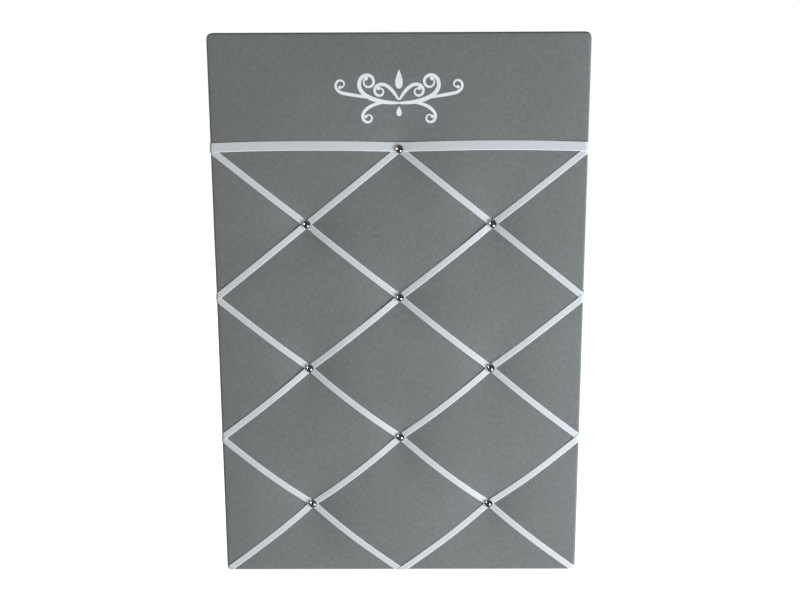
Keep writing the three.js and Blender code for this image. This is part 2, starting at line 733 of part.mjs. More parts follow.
// The D: a straight bar through the curl, joined by a round bow that rises to the ring's height.
function ringGeometry() {
  const bowZ = RING_RISE - RING_R;
  const points = [-1, -0.6, 0, 0.6, 1].map((share) => new THREE.Vector3(share * RING_BAR_HALF, 0, 0));
  const bowSteps = 10;
  for (let k = 0; k <= bowSteps; k += 1) {
    const angle = mix(-Math.PI / 6, (7 * Math.PI) / 6, k / bowSteps);
    points.push(new THREE.Vector3(RING_R * Math.cos(angle), 0, bowZ + RING_R * Math.sin(angle)));
  }
  const path = new THREE.CatmullRomCurve3(points, true, 'centripetal');
  const ringSteps = 36;
  const wireSides = 8;
  return new THREE.TubeGeometry(path, ringSteps, RING_WIRE_R, wireSides, true);
}

for (const [side, x] of [['left', -barX], ['right', barX]]) {
  const place = new THREE.Matrix4().makeTranslation(x, FIT_GAP, barZ);
  const hole = prism(x, screwZ, SCREW_SHANK_R + FIT_GAP, -curlR, screwTip + FIT_GAP, HOLE_SIDES);
  const strap = toSolid(strapGeometry(), place).subtract(hole);
  addPiece(`hanger_strap_${side}`, toGeometry(strap), zinc());
  coreCutters.push(hole);
  panelHoles.push({ x, z: screwZ, radius: SCREW_SHANK_R + FIT_GAP });

  const ring = addPiece(`d_ring_${side}`, ringGeometry(), zinc());
  ring.position.set(x, barY, barZ);
  ring.rotation.x = ringLean;

  const headSeat = FIT_GAP + STRAP_T + FIT_GAP;
  const profile = [
    new THREE.Vector2(0, -screwTip),
    new THREE.Vector2(SCREW_SHANK_R, -screwTip + SCREW_POINT),
    new THREE.Vector2(SCREW_SHANK_R, headSeat),
    new THREE.Vector2(SCREW_HEAD_R, headSeat),
    new THREE.Vector2(SCREW_HEAD_R, headSeat + SCREW_HEAD_RISE / 2),
    new THREE.Vector2(SCREW_HEAD_R * Math.SQRT1_2, headSeat + SCREW_HEAD_RISE),
    new THREE.Vector2(0, headSeat + SCREW_HEAD_RISE),
  ];
  const slotPlace = new THREE.Matrix4().makeTranslation(0, headSeat + SCREW_HEAD_RISE, 0);
  const slot = block(3 * SCREW_HEAD_R, SCREW_HEAD_RISE, SCREW_SLOT, slotPlace);
  const screw = toSolid(new THREE.LatheGeometry(profile, NAIL_SIDES)).subtract(slot);
  addPiece(`hanger_screw_${side}`, toGeometry(screw), zinc()).position.set(x, 0, screwZ);
}

// Core board and back panel, drilled for everything that is driven into them.

const coreSolid = toSolid(plate(outlineShape(coverInset, CORNER_R - coverInset), coreRear, coreFront));
addPiece('core_board', toGeometry(cutAll(coreSolid, coreCutters)), finish(0xb79b72, 0.9));

const fieldX = pinX - FIELD_MARGIN;
const fieldTop = screwZ - FIELD_MARGIN;
const fieldBottom = FIELD_MARGIN - pinZ;
const panelField = [
  new THREE.Vector2(-fieldX, fieldBottom),
  new THREE.Vector2(fieldX, fieldBottom),
  new THREE.Vector2(fieldX, fieldTop),
  new THREE.Vector2(-fieldX, fieldTop),
];
const panelOutline = outlineShape(PANEL_INSET, CORNER_R).getPoints().reverse();
const panelGeometry = drilledPlate(panelOutline, panelField, panelHoles, 0, panelFront);
addPiece('back_panel', panelGeometry, finish(0x7a4f2f, 0.7));

export default board;
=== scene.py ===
"""Padded memo board with a ribbon lattice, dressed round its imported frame.

Every length is in metres. The board stands in XZ with its front towards -Y, and a
level is a distance forward from the rear face of the back panel, so y = -level.
"""

from __future__ import annotations

import logging
import math
from dataclasses import dataclass, field
from enum import Enum

import bmesh
import bpy
import numpy as np
from mathutils import Euler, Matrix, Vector
from mathutils.bvhtree import BVHTree


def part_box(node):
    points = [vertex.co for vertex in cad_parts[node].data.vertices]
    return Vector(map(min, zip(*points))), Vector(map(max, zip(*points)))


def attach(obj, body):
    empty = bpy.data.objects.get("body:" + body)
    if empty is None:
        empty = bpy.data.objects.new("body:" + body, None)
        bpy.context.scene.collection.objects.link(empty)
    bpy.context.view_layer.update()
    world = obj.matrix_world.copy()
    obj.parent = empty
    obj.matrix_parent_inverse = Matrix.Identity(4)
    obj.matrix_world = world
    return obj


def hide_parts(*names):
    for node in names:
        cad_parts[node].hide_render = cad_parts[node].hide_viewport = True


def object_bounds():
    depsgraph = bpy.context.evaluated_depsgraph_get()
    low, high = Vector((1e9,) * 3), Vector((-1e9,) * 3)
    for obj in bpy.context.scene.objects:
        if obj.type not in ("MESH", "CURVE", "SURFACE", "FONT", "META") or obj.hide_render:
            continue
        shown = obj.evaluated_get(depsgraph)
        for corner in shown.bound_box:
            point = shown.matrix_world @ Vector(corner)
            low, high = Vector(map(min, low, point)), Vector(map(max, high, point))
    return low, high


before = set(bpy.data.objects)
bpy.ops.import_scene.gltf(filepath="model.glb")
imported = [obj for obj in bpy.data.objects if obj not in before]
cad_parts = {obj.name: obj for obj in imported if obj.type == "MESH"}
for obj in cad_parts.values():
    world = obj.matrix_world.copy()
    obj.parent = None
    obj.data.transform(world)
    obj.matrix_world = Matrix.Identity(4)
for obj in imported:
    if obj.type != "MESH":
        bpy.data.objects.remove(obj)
CAD_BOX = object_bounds()

LOG = logging.getLogger("memo_board")
Plan = tuple[float, float]
Point = tuple[float, float, float]
Tint = tuple[float, float, float]
SHARP = math.radians(50)
SIDE_EDGE = 0.195
FOOT_EDGE = -0.295


class Body(Enum):
    """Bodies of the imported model."""

    BOARD = "board"
    RING_LEFT = "ring_left"
    RING_RIGHT = "ring_right"


class Side(Enum):
    """Sides of the board on which a hanger stands, with the sign of its x."""

    LEFT = -1
    RIGHT = 1


class Slant(Enum):
    """Ways a lattice ribbon runs, with the sign of its x as it goes down."""

    FALLING = 1
    RISING = -1


class Paint:
    """A shader socket that takes part in Python expressions."""

    def __init__(self, graph: ShaderGraph, socket: bpy.types.NodeSocket) -> None:
        """Keep the socket and the graph that it belongs to."""
        self.graph = graph
        self.socket = socket

    def _math(self, operation: str, first: object, second: object) -> Paint:
        """Add one Math node for an operator."""
        return self.graph.node("ShaderNodeMath", {"operation": operation}, {0: first, 1: second})

    def __add__(self, other: object) -> Paint:
        """Sum of two values."""
        return self._math("ADD", self, other)

    def __radd__(self, other: object) -> Paint:
        """Sum with a number on the left."""
        return self._math("ADD", other, self)

    def __sub__(self, other: object) -> Paint:
        """Difference of two values."""
        return self._math("SUBTRACT", self, other)

    def __rsub__(self, other: object) -> Paint:
        """Difference from a number on the left."""
        return self._math("SUBTRACT", other, self)

    def __mul__(self, other: object) -> Paint:
        """Product of two values."""
        return self._math("MULTIPLY", self, other)

    def __rmul__(self, other: object) -> Paint:
        """Product with a number on the left."""
        return self._math("MULTIPLY", other, self)

    def __gt__(self, other: object) -> Paint:
        """One where the value is greater, otherwise zero."""
        return self._math("GREATER_THAN", self, other)

    def sine(self) -> Paint:
        """Sine of the value."""
        return self._math("SINE", self, 0.0)

    def size(self) -> Paint:
        """Value without its sign."""
        return self._math("ABSOLUTE", self, 0.0)


class ShaderGraph:
    """A material whose nodes are added from Python expressions."""

    def __init__(self, name: str) -> None:
        """Start an empty material.

        Args:
            name: Name of the material.
        """
        self.material = bpy.data.materials.new(name)
        self.material.use_nodes = True
        self.tree = self.material.node_tree
        self.tree.nodes.clear()

    def node(
        self,
        kind: str,
        settings: dict[str, object] | None = None,
        sockets: dict[str | int, object] | None = None,
        output: str | int = 0,
    ) -> Paint:
        """Add any node.

        Args:
            kind: Blender's type of the node.
            settings: Properties set first; "stops" gives a ramp's places and colours.
            sockets: Values or links of the input sockets.
            output: Output socket that the result stands for.

        Returns:
            The output socket, ready for expressions.
        """
        node = self.tree.nodes.new(kind)
        for key, value in (settings or {}).items():
            if key == "stops":
                self._set_stops(node.color_ramp, value)
            else:
                setattr(node, key, value)
        for key, value in (sockets or {}).items():
            self._feed(node.inputs[key], value)
        return Paint(self, node.outputs[output])

    def _feed(self, socket: bpy.types.NodeSocket, value: object) -> None:
        """Link a socket or set its value."""
        if isinstance(value, Paint):
            self.tree.links.new(value.socket, socket)
        elif socket.type == "RGBA":
            socket.default_value = (*value, 1.0)
        else:
            socket.default_value = value

    @staticmethod
    def _set_stops(ramp: bpy.types.ColorRamp, stops: tuple[tuple[float, Tint], ...]) -> None:
        """Give a colour ramp its stops."""
        while len(ramp.elements) < len(stops):
            ramp.elements.new(1.0)
        for element, (place, tint) in zip(ramp.elements, stops):
            element.position = place
            element.color = (*tint, 1.0)

    def coordinates(self, source: str) -> Paint:
        """Coordinates of one kind, such as Object or UV."""
        return self.node("ShaderNodeTexCoord", output=source)

    def stretched(self, source: Paint, scale: Point) -> Paint:
        """Coordinates scaled along each axis."""
        return self.node("ShaderNodeMapping", None, {"Vector": source, "Scale": scale})

    def noise(self, place: Paint, scale: float, detail: float = 3.0, rough: float = 0.5) -> Paint:
        """Smooth noise between zero and one."""
        sockets = {"Vector": place, "Scale": scale, "Detail": detail, "Roughness": rough}
        return self.node("ShaderNodeTexNoise", None, sockets, "Fac")

    def mixed(self, share: object, first: object, second: object) -> Paint:
        """Colour between two colours."""
        return self.node("ShaderNodeMix", {"data_type": "RGBA"}, {0: share, 6: first, 7: second}, 2)

    def ramp(self, value: Paint, stops: tuple[tuple[float, Tint], ...]) -> Paint:
        """Colour read from a ramp of stops."""
        return self.node("ShaderNodeValToRGB", {"stops": stops}, {"Fac": value})

    def bump(self, height: Paint, distance: float, strength: float) -> Paint:
        """Normal bent by a height."""
        sockets = {"Height": height, "Distance": distance, "Strength": strength}
        return self.node("ShaderNodeBump", None, sockets)

    def close(self, sockets: dict[str, object]) -> bpy.types.Material:
        """End the graph in a principled surface.

        Args:
            sockets: Values or links of the surface.

        Returns:
            The finished material.
        """
        surface = self.node("ShaderNodeBsdfPrincipled", None, sockets)
        output = self.tree.nodes.new("ShaderNodeOutputMaterial")
        self.tree.links.new(surface.socket, output.inputs["Surface"])
        return self.material


@dataclass(frozen=True)
class LinenFinish:
    """Grey plain-woven cloth with slubs, read from the unrolled cloth's UV map."""

    name: str = "cover_linen"
    dark: Tint = (0.134, 0.133, 0.129)
    pale: Tint = (0.250, 0.248, 0.240)
    thread: float = 0.00060
    slub: float = 1100.0
    slub_run: float = 120.0
    streak: tuple[float, float] = (900.0, 260.0)
    mottle: float = 190.0
    patch: float = 16.0

    def material(self) -> bpy.types.Material:
        """Make the cloth material."""
        graph = ShaderGraph(self.name)
        cloth = graph.coordinates("UV")
        across = graph.node("ShaderNodeSeparateXYZ", None, {0: cloth}, "X")
        along = graph.node("ShaderNodeSeparateXYZ", None, {0: cloth}, "Y")
        turns = 2 * math.pi / self.thread
        weave = (across * turns).sine() * (along * turns).sine()
        weft = graph.noise(graph.stretched(cloth, (self.slub_run, self.slub, 1.0)), 1.0, 2.0)
        warp = graph.noise(graph.stretched(cloth, (self.slub, self.slub_run, 1.0)), 1.0, 2.0)
        grain = graph.noise(graph.stretched(cloth, (*self.streak, 1.0)), 1.0, 3.0, 0.6)
        mottle = graph.noise(cloth, self.mottle, 2.0)
        patch = graph.noise(cloth, self.patch, 2.0)
        shade = 0.18 * weft + 0.24 * warp + 0.30 * grain + 0.18 * mottle + 0.10 * patch
        colour = graph.ramp(shade, ((0.30, self.dark), (0.70, self.pale)))
        height = 0.35 * weave + 0.6 * weft + 0.6 * warp + 0.4 * grain
        return graph.close({
            "Base Color": colour,
            "Roughness": 0.84 - 0.08 * weft,
            "Normal": graph.bump(height, 0.00012, 0.55),
            "Sheen Weight": 0.12,
            "Sheen Roughness": 0.45,
            "Specular IOR Level": 0.22,
        })


@dataclass(frozen=True)
class SatinFinish:
    """White satin ribbon with a raised selvedge, read from its own UV map. Its colour carries a
    painted sheen in streaks along the floats and a painted highlight along both edges.
    """

    name: str = "ribbon_satin"
    width: float = 0.007
    body: Tint = (0.65, 0.64, 0.65)
    # The edge colour, paler than the body, is a painted highlight along the raised selvedge.
    edge: Tint = (0.81, 0.80, 0.815)
    selvedge: float = 0.00075
    rib: float = 0.00042

    def material(self) -> bpy.types.Material:
        """Make the ribbon material."""
        graph = ShaderGraph(f"{self.name}_{round(self.width * 1000)}mm")
        cloth = graph.coordinates("UV")
        along = graph.node("ShaderNodeSeparateXYZ", None, {0: cloth}, "X")
        across = graph.node("ShaderNodeSeparateXYZ", None, {0: cloth}, "Y")
        # Mask of the raised selvedge: real in the bump and roughness, a painted highlight in the
        # colour.
        selvedge_and_highlight = across.size() > self.width / 2 - self.selvedge
        # Streaks along the floats: real texture in the bump and roughness, painted sheen in the
        # colour.
        floats_and_sheen = graph.noise(graph.stretched(cloth, (60.0, 5200.0, 1.0)), 1.0, 2.0)
        # Broad changes in brightness along the ribbon, used only in the colour: painted sheen.
        sheen_wave = graph.noise(graph.stretched(cloth, (28.0, 60.0, 1.0)), 1.0, 2.0)
        ribs = (along * (2 * math.pi / self.rib)).sine()
        # Body colour lightened and darkened by these streaks: painted sheen.
        shaded = graph.ramp(0.6 * floats_and_sheen + 0.4 * sheen_wave, (
            (0.25, tuple(0.93 * part for part in self.body)),
            (0.75, tuple(1.05 * part for part in self.body)),
        ))
        height = 0.25 * ribs + 0.6 * floats_and_sheen + 1.2 * selvedge_and_highlight
        return graph.close({
            # Base colour: the body with its painted sheen, and paler edges as a painted highlight.
            "Base Color": graph.mixed(selvedge_and_highlight, shaded, self.edge),
            "Roughness": 0.36 + 0.10 * floats_and_sheen + 0.10 * selvedge_and_highlight,
            "Normal": graph.bump(height, 0.00005, 0.5),
            "Specular IOR Level": 0.75,
            "Sheen Weight": 0.08,
            "Sheen Roughness": 0.3,
        })


@dataclass(frozen=True)
class MetalFinish:
    """Plated or drawn metal with faint wipe marks."""

    name: str
    tint: Tint
    dull: Tint
    gloss: float
    spread: float
    grain: float = 900.0

    def material(self) -> bpy.types.Material:
        """Make the metal material."""
        graph = ShaderGraph(self.name)
        place = graph.coordinates("Object")
        cloud = graph.noise(place, self.grain, 3.0)
        wipe = graph.noise(graph.stretched(place, (1.0, 1.0, 9.0)), self.grain * 0.6, 2.0)
        return graph.close({
            "Base Color": graph.mixed(cloud, self.tint, self.dull),
            "Metallic": 1.0,
            "Roughness": self.gloss + self.spread * wipe,
            "Normal": graph.bump(wipe, 0.00002, 0.12),
        })


@dataclass(frozen=True)
class PressedFinish:
    """Pressed wood fibre, with flecks and long fibres."""

    name: str
    dark: Tint
    pale: Tint
    fleck: float
    gloss: float

    def material(self) -> bpy.types.Material:
        """Make the pressed fibre material."""
        graph = ShaderGraph(self.name)
        place = graph.coordinates("Object")
        cloud = graph.noise(place, self.fleck * 0.05, 4.0, 0.6)
        fleck = graph.noise(place, self.fleck, 4.0, 0.65)
        fibre = graph.noise(graph.stretched(place, (0.12, 1.0, 1.0)), self.fleck * 1.6, 2.0)
        thread = graph.noise(graph.stretched(place, (1.0, 1.0, 0.12)), self.fleck * 1.6, 2.0)
        shade = 0.25 * cloud + 0.3 * fleck + 0.25 * fibre + 0.2 * thread
        return graph.close({
            "Base Color": graph.ramp(shade, ((0.36, self.dark), (0.64, self.pale))),
            "Roughness": self.gloss + 0.2 * fleck,
            "Normal": graph.bump(fleck + fibre + thread, 0.0001, 0.35),
        })


@dataclass(frozen=True)
class WaddingFinish:
    """White matted polyester wadding."""

    name: str = "wadding_fleece"
    pale: Tint = (0.80, 0.80, 0.78)
    dark: Tint = (0.58, 0.58, 0.56)

    def material(self) -> bpy.types.Material:
        """Make the wadding material."""
        graph = ShaderGraph(self.name)
        place = graph.coordinates("Object")
        tuft = graph.noise(place, 260.0, 5.0, 0.7)
        hair = graph.noise(graph.stretched(place, (1.0, 1.0, 0.2)), 1500.0, 3.0, 0.7)
        return graph.close({
            "Base Color": graph.mixed(0.6 * tuft + 0.4 * hair, self.dark, self.pale),
            "Roughness": 0.9 + 0.1 * hair,
            "Normal": graph.bump(tuft + 0.5 * hair, 0.0006, 0.6),
            "Sheen Weight": 0.3,
        })


@dataclass(frozen=True)
class FlockFinish:
    """White flock laid on the cloth, with a fine grain."""

    name: str = "flourish_flock"
    pale: Tint = (0.90, 0.91, 0.91)
    dark: Tint = (0.78, 0.79, 0.79)

    def material(self) -> bpy.types.Material:
        """Make the flock material."""
        graph = ShaderGraph(self.name)
        place = graph.coordinates("Object")
        grain = graph.noise(place, 1400.0, 3.0, 0.6)
        patch = graph.noise(place, 90.0, 2.0)
        return graph.close({
            "Base Color": graph.mixed(0.6 * grain + 0.4 * patch, self.dark, self.pale),
            "Roughness": 0.8 + 0.15 * grain,
            "Normal": graph.bump(grain, 0.00008, 0.5),
            "Sheen Weight": 0.15,
        })


@dataclass(frozen=True)
class FloorFinish:
    """Plain pale studio floor."""

    name: str = "studio_floor"
    tint: Tint = (0.40, 0.40, 0.40)
    glow: float = 0.95

    def material(self) -> bpy.types.Material:
        """Make the floor material."""
        graph = ShaderGraph(self.name)
        return graph.close({
            "Base Color": self.tint,
            "Roughness": 0.9,
            "Specular IOR Level": 0.1,
            "Emission Color": (1.0, 1.0, 1.0),
            "Emission Strength": self.glow,
        })


CHROME = MetalFinish("nail_chrome", (0.93, 0.94, 0.95), (0.86, 0.87, 0.89), 0.045, 0.05, 500.0)
STAPLE_WIRE = MetalFinish("staple_wire", (0.62, 0.62, 0.62), (0.48, 0.48, 0.49), 0.26, 0.18)
PIN_STEEL = MetalFinish("pin_steel", (0.56, 0.56, 0.57), (0.38, 0.38, 0.39), 0.24, 0.22)
ZINC = MetalFinish("hanger_zinc", (0.70, 0.71, 0.72), (0.54, 0.56, 0.58), 0.24, 0.2, 420.0)
HARDBOARD = PressedFinish("hardboard", (0.125, 0.066, 0.034), (0.27, 0.16, 0.092), 420.0, 0.52)
FIBREBOARD = PressedFinish("fibreboard", (0.28, 0.21, 0.13), (0.48, 0.38, 0.26), 500.0, 0.75)


def mesh_piece(
    name: str,
    points: np.ndarray | list[Point],
    faces: list[tuple[int, ...]],
    material: bpy.types.Material | None = None,
    uv: np.ndarray | None = None,
    smooth: bool = True,
) -> bpy.types.Object:
    """Make a mesh object at the origin.

    Args:
        name: Name of the piece.
        points: Its points, in metres.
        faces: Its faces, each with its outside to the front.
        material: Its finish, where it has one already.
        uv: One UV pair for each point, where a pattern follows the surface.
        smooth: Whether it is shaded smooth.

    Returns:
        The object, linked to the scene.
    """
    mesh = bpy.data.meshes.new(name)
    mesh.from_pydata([tuple(point) for point in points], [], faces)
    if uv is not None:
        layer = mesh.uv_layers.new(name="cloth")
        order = np.empty(len(mesh.loops), dtype=np.int32)
        mesh.loops.foreach_get("vertex_index", order)
        layer.data.foreach_set("uv", np.asarray(uv, dtype=np.float32)[order].ravel())
    mesh.polygons.foreach_set("use_smooth", [smooth] * len(mesh.polygons))
    if material is not None:
        mesh.materials.append(material)
    mesh.update()
    piece = bpy.data.objects.new(name, mesh)
    bpy.context.scene.collection.objects.link(piece)
    return piece


def remove_piece(piece: bpy.types.Object) -> None:
    """Take a helper object and its mesh out of the file."""
    mesh = piece.data
    bpy.data.objects.remove(piece, do_unlink=True)
    bpy.data.meshes.remove(mesh)


def settle(piece: bpy.types.Object) -> bpy.types.Object:
    """Apply an object's modifiers, so that it holds a plain mesh.

    Args:
        piece: The object with its modifiers.

    Returns:
        The same object, without modifiers.
    """
    graph = bpy.context.evaluated_depsgraph_get()
    evaluated = piece.evaluated_get(graph)
    old = piece.data
    mesh = bpy.data.meshes.new_from_object(
        evaluated, preserve_all_data_layers=True, depsgraph=graph
    )
    piece.modifiers.clear()
    piece.data = mesh
    mesh.name = piece.name
    bpy.data.meshes.remove(old)
    return piece


def add_rounding(piece: bpy.types.Object, width: float) -> None:
    """Round a piece's sharp edges, once it is settled."""
    rounding = piece.modifiers.new("Rounding", "BEVEL")
    rounding.width = width
    rounding.segments = 2
    rounding.limit_method = "ANGLE"
    rounding.angle_limit = SHARP


def thicken(piece: bpy.types.Object, thickness: float, bevel: float = 0.0) -> bpy.types.Object:
    """Give a surface its thickness behind its outer face.

    Args:
        piece: The surface.
        thickness: How thick it becomes.
        bevel: Width of the rounding on its edges, or zero.

    Returns:
        The same object, as a closed shell.
    """
    solid = piece.modifiers.new("Thickness", "SOLIDIFY")
    solid.thickness = thickness
    solid.offset = -1.0
    if bevel > 0:
        add_rounding(piece, bevel)
    return settle(piece)


def outward(piece: bpy.types.Object) -> bpy.types.Object:
    """Merge doubles and turn every face outwards."""
    shape = bmesh.new()
    shape.from_mesh(piece.data)
    bmesh.ops.remove_doubles(shape, verts=shape.verts, dist=1e-6)
    bmesh.ops.recalc_face_normals(shape, faces=shape.faces)
    shape.to_mesh(piece.data)
    shape.free()
    return piece


def grid_faces(across: int, up: int, first: int = 0) -> list[tuple[int, ...]]:
    """List the faces of a grid of points.

    Args:
        across: How many rows of points there are.
        up: How many points each row has.
        first: Number of the grid's first point.

    Returns:
        The faces, row by row.
    """
    corners = (0, up, up + 1, 1)
    return [
        tuple(first + i * up + j + corner for corner in corners)
        for i in range(across - 1)
        for j in range(up - 1)
    ]


def grid_border(across: int, up: int) -> list[int]:
    """Points round the border of such a grid, in order."""
    selvedge_and_highlight = [i * up for i in range(across)]
    selvedge_and_highlight += [(across - 1) * up + j for j in range(1, up)]
    selvedge_and_highlight += [i * up + up - 1 for i in range(across - 2, -1, -1)]
    return selvedge_and_highlight + list(range(up - 2, 0, -1))


def round_angles(sides: int) -> list[float]:
    """Angles of a full turn, in equal steps."""
    return [2 * math.pi * side / sides for side in range(sides)]


def rear_places(nodes: list[str]) -> list[Point]:
    """Middle of the rear of each node's box."""
    boxes = [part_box(node) for node in nodes]
    return [((low.x + high.x) / 2, high.y, (low.z + high.z) / 2) for low, high in boxes]


def smooth_step(low: float, high: float, value: float) -> float:
    """Share between zero and one that eases in and out between two limits."""
    share = min(max((value - low) / (high - low), 0.0), 1.0)
    return share * share * (3.0 - 2.0 * share)


def dress(
    piece: bpy.types.Object,
    body: Body,
    nodes: tuple[str, ...] = (),
) -> bpy.types.Object:
    """Hand a finished piece to the frame.

    Args:
        piece: The finished piece.
        body: Body that it rides on.
        nodes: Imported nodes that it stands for.

    Returns:
        The same piece.
    """
    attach(piece, body.value)
    if nodes:
        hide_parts(*nodes)
    LOG.info("%s rides on %s, %d faces", piece.name, body.value, len(piece.data.polygons))
    return piece


@dataclass
class Outline:
    """Rounded rectangle of the board, as seen from the front."""

    width: float = 0.400
    height: float = 0.600
    corner: float = 0.0065

    @property
    def half(self) -> Plan:
        """Half the width and half the height."""
        return self.width / 2, self.height / 2

    def outside(self, x: float, z: float) -> float:
        """Distance outside the outline, below zero within it."""
        over_x = abs(x) - self.half[0] + self.corner
        over_z = abs(z) - self.half[1] + self.corner
        beyond = math.hypot(max(over_x, 0.0), max(over_z, 0.0))
        return beyond + min(max(over_x, over_z), 0.0) - self.corner

    def normal(self, x: float, z: float) -> Plan:
        """Outward direction at a place near the outline."""
        over_x = abs(x) - self.half[0] + self.corner
        over_z = abs(z) - self.half[1] + self.corner
        if over_x > 0 and over_z > 0:
            size = math.hypot(over_x, over_z)
            return math.copysign(over_x / size, x), math.copysign(over_z / size, z)
        if over_x > over_z:
            return math.copysign(1.0, x), 0.0
        return 0.0, math.copysign(1.0, z)

    def round_off(self, x: np.ndarray, z: np.ndarray) -> tuple[np.ndarray, np.ndarray]:
        """Move the points of each square corner onto its round corner.

        Args:
            x: Places across the square outline.
            z: Places up the square outline.

        Returns:
            The places on the rounded outline.
        """
        over_x = np.clip((np.abs(x) - self.half[0] + self.corner) / self.corner, 0, 1)
        over_z = np.clip((np.abs(z) - self.half[1] + self.corner) / self.corner, 0, 1)
        in_corner = (over_x > 0) & (over_z > 0)
        round_x = over_x * np.sqrt(1 - over_z**2 / 2)
        round_z = over_z * np.sqrt(1 - over_x**2 / 2)
        new_x = np.sign(x) * (self.half[0] - self.corner + self.corner * round_x)
        new_z = np.sign(z) * (self.half[1] - self.corner + self.corner * round_z)
        return np.where(in_corner, new_x, x), np.where(in_corner, new_z, z)


@dataclass
class Lattice:
    """Crossing places of the ribbons and the nails that hold them."""

    pitch_x: float = 0.100
    pitch_z: float = 0.080
    top: float = 0.180
    columns: int = 2
    rows: int = 6
    head_rise: float = 0.0034
    layer: float = 0.00036
    nodes: dict[str, Plan] = field(default_factory=dict)
    seats: dict[str, float] = field(default_factory=dict)

    def __post_init__(self) -> None:
        """Read where each nail stands, and how deep the cover lies under it."""
        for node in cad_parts:
            if not node.startswith("nail_"):
                continue
            low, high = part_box(node)
            self.nodes[node] = ((low.x + high.x) / 2, (low.z + high.z) / 2)
            layers = 3 if node == "nail_row1_middle" else 2
            head_base = -low.y - self.head_rise
            self.seats[node] = head_base - (layers + 0.1) * self.layer

    def point(self, column: int, row: int) -> Plan:
        """Crossing place in a column and a row."""
        return column * self.pitch_x, self.top - row * self.pitch_z

    def runs(self) -> list[tuple[str, Plan, Plan, int]]:
        """List the ribbons in the order they are laid.

        Returns:
            Node name, first place, last place and layer of each ribbon.
        """
        laid = []
        for layer, slant in enumerate(Slant):
            for number, line in enumerate(range(0, self.rows + 1, 2), start=1):
                first = max(-self.columns, -line)
                last = min(self.columns, self.rows - line)
                start = self.point(slant.value * first, first + line)
                end = self.point(slant.value * last, last + line)
                laid.append((f"ribbon_{slant.name.lower()}_{number}", start, end, layer))
        edge = self.columns * self.pitch_x
        laid.append(("top_ribbon", (-edge, self.top), (edge, self.top), 2))
        return laid


